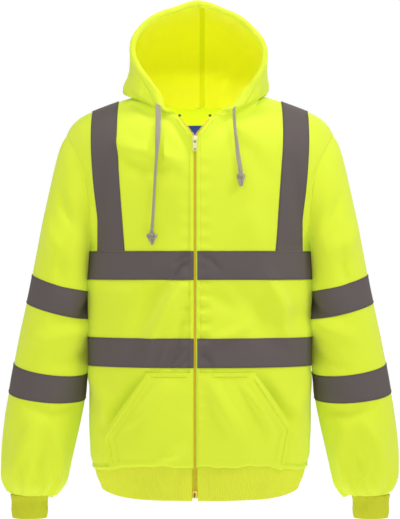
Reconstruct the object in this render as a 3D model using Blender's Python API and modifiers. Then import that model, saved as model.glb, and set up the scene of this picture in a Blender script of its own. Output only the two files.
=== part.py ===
"""Hi-vis hooded sweatshirt, filled out and empty, as one solid for each cut piece.

Metres, +Z up. The front faces -Y and the wearer's left side is at +X. The origin lies
between the shoulders at the level of the neck, where the wearer's shoulders carry it.
"""
import math

import bmesh
import bpy
from mathutils import Vector

OBJECT_NAME = "hi_vis_hooded_sweatshirt"

# Cloth and gaps
FLEECE = 0.0024
RIB = 0.0034
TAPE = 0.0010
SEAM_GAP = 0.0003
LAY_GAP = 0.0004
HALF_GAP = 0.0002

# Torso section: |x/wide|^POWER + |y/depth|^POWER = 1
POWER = 2.4
SHOULDER_TOP = 0.028
SHOULDER_ROUND = 0.085
NECK_BASE = -0.0488
NECK_HALF = 0.112
ARMHOLE_DEPTH = 0.078

# Centre-front zip
ZIP_X = -0.0088
ZIP_EDGE = 0.0048
V_HEIGHT = 0.0361
V_SPREAD = 0.0268
ZIP_TAPE_WIDTH = 0.013
ZIP_TAPE = 0.0012
ZIP_INSET = FLEECE + 0.0008
ZIP_TOP_TRIM = 0.0015

# Hood
HOOD_FRONT_SEAM_X = -0.0035
HOOD_BACK_SEAM_X = 0.0040
HOOD_RIM_WALL = (0.0040, 0.0072, 0.0062)
HOOD_SEAT = 0.0006

SIDES = {"right": -1, "left": 1}

# Torso rows from the hem seam to the armpit, then round the armhole to the shoulder.
# Columns: height at the middle, height at the outer edge, half width, front, back
TORSO_ROWS = (
    (-0.6180, -0.6180, 0.1900, 0.1120, 0.1060),
    (-0.5960, -0.5960, 0.1938, 0.1190, 0.1112),
    (-0.5720, -0.5720, 0.1958, 0.1235, 0.1145),
    (-0.5475, -0.5475, 0.1965, 0.1258, 0.1168),
    (-0.5225, -0.5225, 0.1964, 0.1268, 0.1178),
    (-0.4975, -0.4975, 0.1960, 0.1270, 0.1180),
    (-0.4720, -0.4720, 0.1955, 0.1262, 0.1176),
    (-0.4466, -0.4466, 0.1950, 0.1250, 0.1170),
    (-0.4214, -0.4214, 0.1945, 0.1240, 0.1165),
    (-0.3962, -0.3962, 0.1940, 0.1230, 0.1165),
    (-0.3630, -0.3630, 0.1938, 0.1222, 0.1168),
    (-0.3300, -0.3300, 0.1938, 0.1220, 0.1174),
    (-0.2962, -0.2962, 0.1938, 0.1225, 0.1185),
    (-0.2714, -0.2714, 0.1938, 0.1230, 0.1195),
    (-0.2466, -0.2466, 0.1938, 0.1230, 0.1205),
    (-0.2380, -0.2380, 0.1938, 0.1230, 0.1210),
    (-0.2315, -0.2332, 0.1935, 0.1230, 0.1210),
    (-0.2130, -0.2191, 0.1930, 0.1230, 0.1220),
    (-0.1850, -0.1972, 0.1925, 0.1228, 0.1225),
    (-0.1520, -0.1696, 0.1923, 0.1222, 0.1230),
    (-0.1180, -0.1390, 0.1940, 0.1212, 0.1225),
    (-0.0850, -0.1084, 0.2005, 0.1200, 0.1210),
    (-0.0488, -0.0808, 0.2125, 0.1180, 0.1180),
    (-0.0040, -0.0589, 0.2245, 0.1165, 0.1150),
    (0.0200, -0.0448, 0.2330, 0.1150, 0.1120),
    (0.0280, -0.0400, 0.2360, 0.1150, 0.1120),
)
WAIST_TAPE_ROWS = (7, 9)
CHEST_TAPE_ROWS = (12, 14)
ARMPIT_ROW = 15
TOP_ROW = len(TORSO_ROWS) - 1

# Large soft folds of the body: face, from x and z, to x and z, half width, height
FOLDS = (
    (-1, -0.080, -0.415, -0.040, -0.320, 0.022, 0.0034),
    (-1, 0.030, -0.325, 0.115, -0.390, 0.025, -0.0030),
    (-1, -0.100, -0.060, -0.055, -0.120, 0.024, 0.0020),
    (-1, 0.120, -0.150, 0.065, -0.215, 0.026, 0.0030),
    (1, -0.150, -0.200, -0.040, -0.285, 0.030, 0.0050),
    (1, 0.150, -0.190, 0.035, -0.300, 0.030, 0.0050),
    (1, -0.020, -0.440, -0.120, -0.560, 0.028, 0.0048),
    (1, 0.030, -0.400, 0.130, -0.520, 0.028, -0.0040),
    (1, 0.004, -0.060, 0.000, -0.180, 0.030, 0.0036),
)
FOLD_FADE = 0.030
FOLD_TOP = -0.020
ZIP_CALM = 0.012

# Soft ridges of the pockets, all standing away from the front
POCKET_FOLDS = (
    (-0.110, -0.600, -0.050, -0.480, 0.020, 0.0050),
    (-0.060, -0.605, -0.028, -0.545, 0.011, 0.0038),
    (0.040, -0.490, 0.090, -0.600, 0.017, 0.0052),
    (0.092, -0.480, 0.128, -0.560, 0.015, 0.0040),
    (0.016, -0.560, 0.045, -0.605, 0.011, 0.0032),
)

# Sleeve folds: ring, place round it from outside over the front, spread, height
SLEEVE_FOLDS = (
    (3, 70, 45, 0.0030),
    (8, 130, 55, -0.0035),
    (8, 40, 40, 0.0020),
    (8, 290, 50, 0.0035),
    (12, 75, 45, 0.0032),
    (12, 250, 50, -0.0030),
    (13, 110, 40, -0.0032),
    (14, 60, 35, 0.0026),
    (14, 220, 45, 0.0030),
)

# Column guides by height: neck corner, inner and outer edge of the shoulder tapes
GUIDE_ROWS = (
    (-0.2466, 0.0950, 0.1298, 0.1762),
    (-0.0400, 0.1120, 0.1440, 0.1890),
    (0.0280, 0.1120, 0.1425, 0.1890),
)
FRONT_CELLS = (5, 1, 2, 3)
BACK_HALF_CELLS = (5, 1, 2, 3)
TAPE_COLUMNS = (6, 8)

# Front neckline: distance from the middle, height
FRONT_NECK = ((0.0200, -0.0144), (0.0413, -0.0127), (0.0624, -0.0060), (0.0902, 0.0080), (0.1120, 0.0280))
BACK_NECK_LOW = 0.012

# Rib hem band. Columns: height, half width, front, back
HEM_ROWS = (
    (-0.6183, 0.1900, 0.1120, 0.1060),
    (-0.6300, 0.1865, 0.1115, 0.1055),
    (-0.6500, 0.1800, 0.1090, 0.1030),
    (-0.6720, 0.1745, 0.1050, 0.0990),
)

# Sleeve rings. Columns: outer x, outer z, inner x, inner z, half depth, cap bow, front drop
SLEEVE_ROWS = (
    (0.2475, -0.0560, 0.1985, -0.2490, 0.0780, 0.012, 0.000),
    (0.2580, -0.0975, 0.1980, -0.2580, 0.0790, 0.007, 0.000),
    (0.2690, -0.1480, 0.1978, -0.2690, 0.0790, 0.003, 0.000),
    (0.2793, -0.1960, 0.1978, -0.2815, 0.0780, 0.000, 0.001),
    (0.2885, -0.2430, 0.1978, -0.2985, 0.0765, 0.000, 0.002),
    (0.2970, -0.2868, 0.1978, -0.3169, 0.0750, 0.000, 0.004),
    (0.3015, -0.3115, 0.1978, -0.3408, 0.0740, 0.000, 0.004),
    (0.3070, -0.3363, 0.1980, -0.3647, 0.0730, 0.000, 0.005),
    (0.3185, -0.3900, 0.1985, -0.4140, 0.0720, 0.000, 0.007),
    (0.3295, -0.4425, 0.2005, -0.4600, 0.0700, 0.000, 0.010),
    (0.3345, -0.4680, 0.2020, -0.4830, 0.0690, 0.000, 0.010),
    (0.3385, -0.4939, 0.2045, -0.5070, 0.0680, 0.000, 0.010),
    (0.3480, -0.5450, 0.2125, -0.5500, 0.0670, 0.000, 0.008),
    (0.3525, -0.5950, 0.2240, -0.5970, 0.0650, 0.000, 0.004),
    (0.3535, -0.6350, 0.2340, -0.6350, 0.0610, 0.000, 0.000),
    (0.3480, -0.6600, 0.2430, -0.6580, 0.0530, 0.000, 0.000),
    (0.3330, -0.6760, 0.2600, -0.6760, 0.0360, 0.000, 0.000),
)
UPPER_BAND_ROWS = (5, 7)
LOWER_BAND_ROWS = (9, 11)

# Cuff rings. Columns: height, half width, half depth
CUFF_X = 0.3015
CUFF_ROWS = (
    (-0.6764, 0.0350, 0.0345),
    (-0.6860, 0.0315, 0.0310),
    (-0.7020, 0.0320, 0.0310),
    (-0.7175, 0.0300, 0.0290),
)

# Hood sections from the neck to the crown.
# Columns: rim z, rim y, rim x right, rim x left, side z, side y, side x right, side x left, back y, back z
HOOD_ROWS = (
    (0.0060, -0.096, 0.0590, 0.0580, 0.034, -0.010, 0.1300, 0.1165, 0.088, 0.032),
    (0.0240, -0.099, 0.0735, 0.0780, 0.047, 0.005, 0.1310, 0.1185, 0.120, 0.054),
    (0.0450, -0.101, 0.0895, 0.0965, 0.062, 0.015, 0.1270, 0.1180, 0.141, 0.078),
    (0.0680, -0.102, 0.1055, 0.1090, 0.080, 0.018, 0.1215, 0.1160, 0.152, 0.101),
    (0.0930, -0.100, 0.1170, 0.1125, 0.100, 0.018, 0.1225, 0.1165, 0.155, 0.123),
    (0.1170, -0.096, 0.1175, 0.1100, 0.121, 0.016, 0.1205, 0.1105, 0.151, 0.143),
    (0.1380, -0.091, 0.1090, 0.0955, 0.142, 0.014, 0.1080, 0.0945, 0.141, 0.159),
    (0.1570, -0.086, 0.0915, 0.0775, 0.162, 0.012, 0.0890, 0.0765, 0.126, 0.172),
    (0.1730, -0.082, 0.0650, 0.0510, 0.178, 0.010, 0.0630, 0.0500, 0.108, 0.180),
)
HOOD_TOP_Z = 0.1860
HOOD_TOP_FRONT_Y = -0.079
HOOD_TOP_BACK = (0.086, 0.184)
HOOD_STEPS = (0.0, 0.03, 0.08, 0.20, 0.35, 0.5, 0.6, 0.7, 0.8, 0.9, 1.0)

# Pocket outline at each side: top corner, lower end of the opening, foot (|x|, z)
POCKET_TOP = -0.4545
POCKET_EDGE = {
    "right": ((0.0909, -0.4590), (0.1637, -0.5637), (0.1550, -0.6172)),
    "left": ((0.0934, -0.4574), (0.1560, -0.5510), (0.1440, -0.6172)),
}
POCKET_LIFT = 0.0010
POCKET_GAPE = 0.0030
POCKET_CELLS = 9

# Neck label: shares of two back rows and of the columns beside the middle
LABEL_ROWS = (22, 23)
LABEL_TOP = 0.87
LABEL_OVERHANG = 0.35
LABEL = 0.0008

# Slider, pull tab and retainer box of the zip
SLIDER_SIZE = (0.0084, 0.0056, 0.0124)
SLIDER_CENTRE = (-0.0088, -0.1180, -0.0552)
SLIDER_TILT = math.radians(-4.2)
BRIDGE_RADIUS = 0.0030
BRIDGE_WIRE = 0.0008
PULL_AXIS = (-0.0088, -0.1227, -0.0560)
PULL_THICK = 0.0012
PULL_HALF = 0.0037
PULL_TOP = 0.0011
PULL_LENGTH = 0.0200
PULL_WINDOW = (0.0021, -0.0007, -0.0053)
PULL_HOLE = (-0.0165, 0.0014)
BOX_SIZE = (0.0086, 0.0040, 0.0130)
BOX_CENTRE = (-0.0088, -0.1056, -0.6640)
BOX_TILT = math.radians(10.3)
BLOCK_ROUNDING = 0.0010

# Eyelets: section and column of the hood where each sits
EYELET_SPOT = {"right": (1.35, 1.5), "left": (0.55, 1.4)}
EYELET_OUTER = 0.0045
EYELET_HOLE = 0.0026
EYELET_THICK = 0.0012
EYELET_LIFT = {"right": 0.0010, "left": 0.0022}
EYELET_SIDES = 16

# Drawcord ends: route of each, and the knot that closes it
CORD_RADIUS = 0.00225
CORD_STEP = 0.0110
CORD_ROUTE = {
    "right": (
        (-0.0766, -0.0890, 0.0137),
        (-0.0785, -0.0922, 0.0108),
        (-0.0790, -0.0960, 0.0040),
        (-0.0780, -0.1005, -0.0060),
        (-0.0768, -0.1060, -0.0180),
        (-0.0760, -0.1120, -0.0325),
        (-0.0755, -0.1184, -0.0500),
        (-0.0762, -0.1218, -0.0700),
        (-0.0770, -0.1224, -0.0950),
        (-0.0778, -0.1220, -0.1200),
        (-0.0788, -0.1213, -0.1480),
        (-0.0798, -0.1211, -0.1760),
        (-0.0812, -0.1222, -0.2000),
        (-0.0820, -0.1236, -0.2137),
    ),
    "left": (
        (0.0606, -0.0944, 0.0010),
        (0.0614, -0.0974, -0.0006),
        (0.0617, -0.1012, -0.0062),
        (0.0612, -0.1052, -0.0145),
        (0.0609, -0.1112, -0.0280),
        (0.0613, -0.1184, -0.0440),
        (0.0628, -0.1204, -0.0620),
        (0.0650, -0.1212, -0.0820),
        (0.0678, -0.1232, -0.1000),
        (0.0690, -0.1246, -0.1108),
    ),
}
KNOTS = {
    "right": ((-0.0822, -0.1238, -0.2235), (0.0085, 0.0062, 0.0095)),
    "left": ((0.0698, -0.1249, -0.1236), (0.0062, 0.0055, 0.0125)),
}

# Fluorescent cloth, tapes and trims: colour, roughness, metallic
COLOURS = {
    "fleece": ((0.76, 0.96, 0.05), 0.85, 0.0),
    "rib": ((0.66, 0.82, 0.07), 0.9, 0.0),
    "tape": ((0.115, 0.09, 0.085), 0.5, 0.1),
    "zip_tape": ((0.70, 0.80, 0.05), 0.8, 0.0),
    "metal": ((0.55, 0.50, 0.20), 0.35, 0.8),
    "cord": ((0.42, 0.38, 0.33), 0.8, 0.0),
    "label": ((0.02, 0.12, 0.33), 0.6, 0.0),
}


def clear_scene():
    """Remove whatever the file holds, so the script can run again."""
    for thing in list(bpy.data.objects):
        bpy.data.objects.remove(thing, do_unlink=True)


def material(kind):
    """Return the material of one kind of cloth or trim, made on first use."""
    found = bpy.data.materials.get(kind)
    if found:
        return found
    colour, roughness, metallic = COLOURS[kind]
    made = bpy.data.materials.new(kind)
    made.use_nodes = True
    shader = made.node_tree.nodes["Principled BSDF"]
    shader.inputs["Base Color"].default_value = (*colour, 1.0)
    shader.inputs["Roughness"].default_value = roughness
    shader.inputs["Metallic"].default_value = metallic
    made.diffuse_color = (*colour, 1.0)
    return made


def add_object(name, mesh, kind):
    """Link a mesh as one named piece with a material of its own."""
    piece = bpy.data.objects.new(name, mesh)
    bpy.data.collections[OBJECT_NAME].objects.link(piece)
    own = material(kind).copy()
    own.name = f"{name}_{kind}"
    mesh.materials.append(own)
    mesh.shade_smooth()
    mesh.set_sharp_from_angle(angle=math.radians(50))
    return piece


def split_cell(body, corners, by_index):
    """Add a cell as two triangles, cut alike on a panel and on what lies on it."""
    a, b, c, d = corners

    def climb(low, high):
        return (high.co.z - low.co.z) * (abs(high.co.x) - abs(low.co.x))

    if by_index or climb(a, c) > climb(b, d):
        body.faces.new((a, b, c))
        body.faces.new((a, c, d))
    else:
        body.faces.new((a, b, d))
        body.faces.new((b, c, d))


def wall(name, outside, inside, kind, closed=False):
    """Loft a cloth wall between two matching grids of points, open or closed round."""
    body = bmesh.new()
    skins = []
    for grid in (outside, inside):
        skins.append([[body.verts.new(point) for point in row] for row in grid])
    rows = len(outside)
    columns = len(outside[0])
    cells = columns if closed else columns - 1
    for skin in skins:
        for i in range(rows - 1):
            for j in range(cells):
                k = (j + 1) % columns
                corners = (skin[i][j], skin[i][k], skin[i + 1][k], skin[i + 1][j])
                split_cell(body, corners, by_index=closed)
    outer, inner = skins
    for i in (0, rows - 1):
        for j in range(cells):
            k = (j + 1) % columns
            body.faces.new((outer[i][j], outer[i][k], inner[i][k], inner[i][j]))
    if not closed:
        for j in (0, columns - 1):
            for i in range(rows - 1):
                body.faces.new((outer[i][j], outer[i + 1][j], inner[i + 1][j], inner[i][j]))
    bmesh.ops.recalc_face_normals(body, faces=body.faces)
    mesh = bpy.data.meshes.new(name)
    body.to_mesh(mesh)
    body.free()
    return add_object(name, mesh, kind)


def between(table, at, column):
    """Read one column of a table at a height, in a straight line between its rows."""
    if at <= table[0][0]:
        return table[0][column]
    for low, high in zip(table, table[1:]):
        if at <= high[0]:
            share = (at - low[0]) / (high[0] - low[0])
            return low[column] + share * (high[column] - low[column])
    return table[-1][column]


def roundness(middle):
    """Share of the full depth left near the top of the shoulder."""
    below = SHOULDER_TOP - middle
    if below >= SHOULDER_ROUND:
        return 1.0
    return math.sqrt(max(0.0, 1.0 - (1.0 - below / SHOULDER_ROUND) ** 2))


def shoulder_fall(share):
    """How the shoulder drops from neck (0) to sleeve (1): straight, then rounded."""
    straight = 0.58 * max(0.0, (share - 0.5) / 0.45)
    return (straight + 0.36 * share ** 24) / (0.58 / 0.9 + 0.36)


def row_depth(row, face):
    """Depth of a torso row before rounding, for the front (-1) or the back (1)."""
    return TORSO_ROWS[row][3] if face < 0 else TORSO_ROWS[row][4]


def row_width(row, face):
    """Half width of the full section, wider than the edge where the armhole cuts it."""
    half = TORSO_ROWS[row][2]
    if row <= ARMPIT_ROW or row == TOP_ROW:
        return half
    turn = math.pi * (row - ARMPIT_ROW) / (TOP_ROW - ARMPIT_ROW)
    depth = row_depth(row, face) * roundness(TORSO_ROWS[row][0])
    edge = min(ARMHOLE_DEPTH * math.sin(turn), 0.85 * depth)
    return half / (1.0 - (edge / depth) ** POWER) ** (1.0 / POWER)


def fold_sum(folds, x, z):
    """Height of a set of straight soft folds at a place."""
    total = 0.0
    for x1, z1, x2, z2, width, height in folds:
        run_x, run_z = x2 - x1, z2 - z1
        share = ((x - x1) * run_x + (z - z1) * run_z) / (run_x ** 2 + run_z ** 2)
        share = max(0.0, min(1.0, share))
        away = math.hypot(x - x1 - share * run_x, z - z1 - share * run_z)
        total += height * math.exp(-(away / width) ** 2)
    return total


def fold_height(x, z, face):
    """Height of the large folds of the front or back, calm at hem, neck and zip."""
    low = TORSO_ROWS[0][0]
    fade = min(1.0, (z - low) / FOLD_FADE, (FOLD_TOP - z) / FOLD_FADE)
    if face < 0:
        fade = min(fade, (abs(x - ZIP_X) - ZIP_CALM) / FOLD_FADE)
    return max(0.0, fade) * fold_sum([fold[1:] for fold in FOLDS if fold[0] == face], x, z)


def torso_point(row, x, middle, face, inset):
    """Point of the torso wall: face -1 is the front and 1 the back, inset goes inwards."""
    middle_row, edge_row, half = TORSO_ROWS[row][:3]
    wide = row_width(row, face)
    share = min(1.0, abs(x) / wide)
    depth = (1.0 - share ** POWER) ** (1.0 / POWER)
    lean = max(0.0, 1.0 - (SHOULDER_TOP - middle) / SHOULDER_ROUND)
    fall = (middle_row - edge_row) * shoulder_fall(min(1.0, abs(x) / half))
    height = middle - fall - inset * lean
    fold = fold_height(x, height, face)
    y = face * ((row_depth(row, face) - inset) * roundness(middle) + fold) * depth
    return Vector((x * (wide - inset) / wide, y, height))


def spread(low, high, cells, wide):
    """Positions between two distances, even in the section's own angle."""
    def angle(x):
        return math.copysign(math.asin(min(1.0, abs(x / wide) ** (POWER / 2))), x)

    first, last = angle(low), angle(high)
    found = []
    for step in range(cells + 1):
        turn = first + (last - first) * step / cells
        found.append(math.copysign(wide * abs(math.sin(turn)) ** (2 / POWER), turn))
    return found


def guides(row):
    """Neck, tape and edge guides of one torso row as distances from the middle."""
    middle, _, half = TORSO_ROWS[row][:3]
    scale = half / TORSO_ROWS[ARMPIT_ROW][2] if row < ARMPIT_ROW else 1.0
    return [between(GUIDE_ROWS, middle, column) * scale for column in (1, 2, 3)] + [half]


def columns_from(start, row, face, cells):
    """Distances of every column of a row, from the start out to the edge."""
    stops = [start] + guides(row)
    wide = row_width(row, face)
    found = [start]
    for low, high, count in zip(stops, stops[1:], cells):
        found += spread(low, high, count, wide)[1:]
    return found


def neck_top(x, face):
    """Height where the panel ends: the neckline inside, the shoulder seam outside."""
    if abs(x) >= NECK_HALF:
        return SHOULDER_TOP
    if face > 0:
        return BACK_NECK_LOW + (SHOULDER_TOP - BACK_NECK_LOW) * (abs(x) / NECK_HALF) ** 2
    return between(FRONT_NECK, abs(x), 1)


def fit_neck(middle, top):
    """Squeeze the rows above the base of the V so that the last one meets the top."""
    if middle <= NECK_BASE:
        return middle
    share = (middle - NECK_BASE) / (SHOULDER_TOP - NECK_BASE)
    return NECK_BASE + share * (top - NECK_BASE)


def zip_x(side, middle, off):
    """Signed place of a line beside the zip, opening outwards along the V."""
    open_share = min(1.0, max(0.0, (middle - NECK_BASE) / V_HEIGHT))
    return ZIP_X + SIDES[side] * (off + V_SPREAD * open_share)


def front_columns(side, row):
    """Signed columns and heights of a front row, from the zip edge to the side."""
    sign = SIDES[side]
    top_start = sign * zip_x(side, SHOULDER_TOP, ZIP_EDGE)
    tops = [neck_top(x, -1) for x in columns_from(top_start, TOP_ROW, -1, FRONT_CELLS)]
    middle = TORSO_ROWS[row][0]
    start = sign * zip_x(side, fit_neck(middle, tops[0]), ZIP_EDGE)
    found = columns_from(start, row, -1, FRONT_CELLS)
    return [(sign * x, fit_neck(middle, top)) for x, top in zip(found, tops)]


def front_points(side, row, inset, first=0, last=None):
    """Points of one row of a front, between two columns."""
    found = [torso_point(row, x, middle, -1, inset) for x, middle in front_columns(side, row)]
    return settle(found[first:last], -1, row)


def back_half(row):
    """Columns and heights of half a back row, from the middle out."""
    tops = [neck_top(x, 1) for x in columns_from(0.0, TOP_ROW, 1, BACK_HALF_CELLS)]
    middle = TORSO_ROWS[row][0]
    return [(x, fit_neck(middle, top)) for x, top in zip(columns_from(0.0, row, 1, BACK_HALF_CELLS), tops)]


def back_points(row, inset):
    """Points of one row of the back, from the right side to the left."""
    half = back_half(row)
    signed = [(-x, middle) for x, middle in reversed(half)] + half[1:]
    return settle([torso_point(row, x, middle, 1, inset) for x, middle in signed], 1, row)


def settle(points, face, row):
    """Hold the side and shoulder seams half a gap off the plane between front and back."""
    for point in points:
        point.y = face * max(abs(point.y), HALF_GAP)
    return points


def front(side):
    """Front panel of one side, from the hem seam to the neckline and shoulder."""
    rows = range(TOP_ROW + 1)
    outside = [front_points(side, row, 0.0) for row in rows]
    inside = [front_points(side, row, FLEECE) for row in rows]
    return wall(f"front_{side}", outside, inside, "fleece")


def back():
    """Back panel, from the hem seam to the back neck and shoulders."""
    rows = range(TOP_ROW + 1)
    outside = [back_points(row, 0.0) for row in rows]
    inside = [back_points(row, FLEECE) for row in rows]
    return wall("back", outside, inside, "fleece")


def body_tapes(name, rows):
    """Reflective band round the body: right front, left front and back."""
    span = range(rows[0], rows[1] + 1)
    skins = (-LAY_GAP - TAPE, -LAY_GAP)
    for side in SIDES:
        outside, inside = ([front_points(side, row, skin) for row in span] for skin in skins)
        wall(f"{name}_front_{side}", outside, inside, "tape")
    outside, inside = ([back_points(row, skin) for row in span] for skin in skins)
    wall(f"{name}_back", outside, inside, "tape")


def shoulder_tape(side):
    """Reflective tape from the chest band over the shoulder to the back band."""
    first, last = TAPE_COLUMNS
    skins = []
    for skin in (-LAY_GAP - TAPE, -LAY_GAP):
        rows = []
        for row in range(CHEST_TAPE_ROWS[1], TOP_ROW):
            rows.append(front_points(side, row, skin, first, last + 1))
        crest = front_points(side, TOP_ROW, skin, first, last + 1)
        rows.append([Vector((point.x, 0.0, point.z)) for point in crest])
        for row in range(TOP_ROW - 1, CHEST_TAPE_ROWS[1] - 1, -1):
            half = back_half(row)[first:last + 1]
            rows.append([torso_point(row, SIDES[side] * x, middle, 1, skin) for x, middle in half])
        for point in rows[0] + rows[-1]:
            point.z += SEAM_GAP
        skins.append(rows)
    return wall(f"shoulder_tape_{side}", skins[0], skins[1], "tape")


def hem_point(row, x, face, inset):
    """Point of the rib hem band, with the torso's own section."""
    height, half, front_depth, back_depth = HEM_ROWS[row]
    depth = front_depth if face < 0 else back_depth
    share = min(1.0, abs(x) / half)
    y = face * (depth - inset) * (1.0 - share ** POWER) ** (1.0 / POWER)
    return Vector((x * (half - inset) / half, y, height))


def hem_rib():
    """Rib band from one zip edge round the back to the other."""
    skins = []
    for inset in (0.0, RIB):
        rows = []
        for row in range(len(HEM_ROWS)):
            scale = HEM_ROWS[row][1] / TORSO_ROWS[0][2]
            loop = []
            for x, _ in front_columns("right", 0):
                held = x if abs(x) < 0.03 else x * scale
                loop.append(hem_point(row, held, -1, inset))
            for x, _ in reversed(back_half(0)[:-1]):
                loop.append(hem_point(row, -x * scale, 1, inset))
            for x, _ in back_half(0)[1:-1]:
                loop.append(hem_point(row, x * scale, 1, inset))
            for x, _ in reversed(front_columns("left", 0)):
                held = x if abs(x) < 0.03 else x * scale
                loop.append(hem_point(row, held, -1, inset))
            rows.append(loop)
        skins.append(rows)
    return wall("hem_rib", skins[0], skins[1], "rib")


def armhole_ring(side, inset):
    """The body's own armhole edge as a ring: down the front, then up the back."""
    found = []
    for row in range(TOP_ROW, ARMPIT_ROW - 1, -1):
        x, middle = front_columns(side, row)[-1]
        found.append(torso_point(row, x, middle, -1, inset))
    for row in range(ARMPIT_ROW + 1, TOP_ROW):
        x, middle = back_half(row)[-1]
        found.append(torso_point(row, SIDES[side] * x, middle, 1, inset))
    return found


def sleeve_fold(row, degrees):
    """Height of the sleeve's folds on one ring at a place round it."""
    total = 0.0
    for ring, place, width, height in SLEEVE_FOLDS:
        if ring == row:
            away = (degrees - place + 180.0) % 360.0 - 180.0
            total += height * math.exp(-(away / width) ** 2)
    return total


def sleeve_ring(side, row, inset):
    """One ring of the sleeve, round a slanting line from outer to inner point."""
    outer_x, outer_z, inner_x, inner_z, deep, bow, drop = SLEEVE_ROWS[row]
    outer = Vector((outer_x, 0.0, outer_z))
    inner = Vector((inner_x, 0.0, inner_z))
    centre = (outer + inner) / 2
    reach = (outer - inner) / 2
    reach *= (reach.length - inset) / reach.length
    count = 2 * (TOP_ROW - ARMPIT_ROW)
    found = []
    for step in range(count):
        turn = 2 * math.pi * step / count
        swell = 1.0 + sleeve_fold(row, math.degrees(turn)) / deep
        point = centre + reach * swell * math.cos(turn)
        point.y = -(deep * swell - inset) * math.sin(turn)
        point.x -= bow * math.sin(turn) ** 2
        point.z -= drop * math.sin(turn)
        point.x *= SIDES[side]
        found.append(point)
    return found


def sleeve(side):
    """Sleeve from the armhole to the cuff seam, hanging beside the body."""
    push = Vector((SIDES[side] * SEAM_GAP, 0.0, 0.0))
    skins = []
    for inset in (0.0, FLEECE):
        head = [point + push for point in armhole_ring(side, 0.0)]
        if inset:
            axis = sum(head, Vector()) / len(head)
            head = [point + cap_inward(point, axis) * inset for point in head]
        skins.append([head] + [sleeve_ring(side, row, inset) for row in range(len(SLEEVE_ROWS))])
    return wall(f"sleeve_{side}", skins[0], skins[1], "fleece", closed=True)


def cap_inward(point, axis):
    """Unit direction from an armhole point to the middle of the armhole."""
    toward = axis - point
    toward.x = 0.0
    return toward.normalized()


def sleeve_band(side, name, rows):
    """Reflective band round a sleeve, made from its rings moved out."""
    span = range(rows[0], rows[1] + 1)
    outside = [sleeve_ring(side, row, -LAY_GAP - TAPE) for row in span]
    inside = [sleeve_ring(side, row, -LAY_GAP) for row in span]
    return wall(f"sleeve_tape_{name}_{side}", outside, inside, "tape", closed=True)


def cuff(side):
    """Rib cuff, a narrow tube below the gathered sleeve end."""
    count = 2 * (TOP_ROW - ARMPIT_ROW)
    skins = []
    for inset in (0.0, RIB):
        rows = []
        for height, half, deep in CUFF_ROWS:
            loop = []
            for step in range(count):
                turn = 2 * math.pi * step / count
                x = SIDES[side] * (CUFF_X + (half - inset) * math.cos(turn))
                loop.append(Vector((x, -(deep - inset) * math.sin(turn), height)))
            rows.append(loop)
        skins.append(rows)
    return wall(f"cuff_{side}", skins[0], skins[1], "rib", closed=True)


def bezier(points, share):
    """Point of a cubic curve through four control points."""
    a, b, c, d = points
    rest = 1.0 - share
    return a * rest ** 3 + b * 3 * rest ** 2 * share + c * 3 * rest * share ** 2 + d * share ** 3


def hood_section(side, row):
    """One section of a hood half, from the rim round the side to the centre seam."""
    sign = SIDES[side]
    values = HOOD_ROWS[row]
    rim_x, side_x = (values[2], values[6]) if side == "right" else (values[3], values[7])
    seam = HOOD_BACK_SEAM_X + sign * HALF_GAP
    rim = Vector((sign * rim_x, values[1], values[0]))
    flank = Vector((sign * side_x, values[5], values[4]))
    nape = Vector((seam, values[8], values[9]))
    rise = Vector((0.0, 0.5 * (flank.y - rim.y), 0.3 * (flank.z - rim.z)))
    ahead = Vector((0.5 * (flank.x - rim.x), 0.35 * (flank.y - rim.y), 0.3 * (flank.z - rim.z)))
    behind = Vector((0.0, 0.58 * (nape.y - flank.y), 0.3 * (nape.z - flank.z)))
    across = Vector((0.58 * (flank.x - nape.x), 0.0, 0.0))
    found = []
    for step in HOOD_STEPS:
        if step <= 0.5:
            found.append(bezier((rim, rim + ahead, flank - rise, flank), step * 2))
        else:
            found.append(bezier((flank, flank + behind, nape + across, nape), step * 2 - 1))
    return found


def hood_crown(side):
    """The top seam, from the middle of the rim back to the crown."""
    sign = SIDES[side]
    back_y, back_z = HOOD_TOP_BACK
    found = []
    for step in HOOD_STEPS:
        x = HOOD_FRONT_SEAM_X + (HOOD_BACK_SEAM_X - HOOD_FRONT_SEAM_X) * step + sign * HALF_GAP
        y = HOOD_TOP_FRONT_Y + (back_y - HOOD_TOP_FRONT_Y) * step
        z = HOOD_TOP_Z + (back_z - HOOD_TOP_Z) * step + 0.007 * math.sin(math.pi * step)
        found.append(Vector((x, y, z)))
    return found


def neck_edge(side):
    """The neckline of one side, from the top of the V round to the back seam."""
    sign = SIDES[side]
    cells = FRONT_CELLS[0]
    found = [torso_point(TOP_ROW, x, middle, -1, 0.0) for x, middle in front_columns(side, TOP_ROW)[:cells + 1]]
    for x, middle in reversed(back_half(TOP_ROW)[:cells]):
        point = torso_point(TOP_ROW, sign * x, middle, 1, 0.0)
        if x == 0.0:
            point.x = sign * HALF_GAP
        found.append(point)
    return found


def hood_base(side):
    """Points of the hood's neck seam with the level direction to the neck's middle."""
    centre = Vector((0.0, -0.01, 0.0))
    found = []
    for point in neck_edge(side):
        inward = centre - point
        inward.z = 0.0
        found.append((point + Vector((0.0, 0.0, HOOD_SEAT)), inward.normalized()))
    return found


def hood_outside(side):
    """Outer grid of a hood half: neck seam, sections and top seam."""
    outside = [[point + inward * HOOD_SEAT for point, inward in hood_base(side)]]
    outside += [hood_section(side, row) for row in range(len(HOOD_ROWS))]
    outside.append(hood_crown(side))
    return outside


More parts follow.
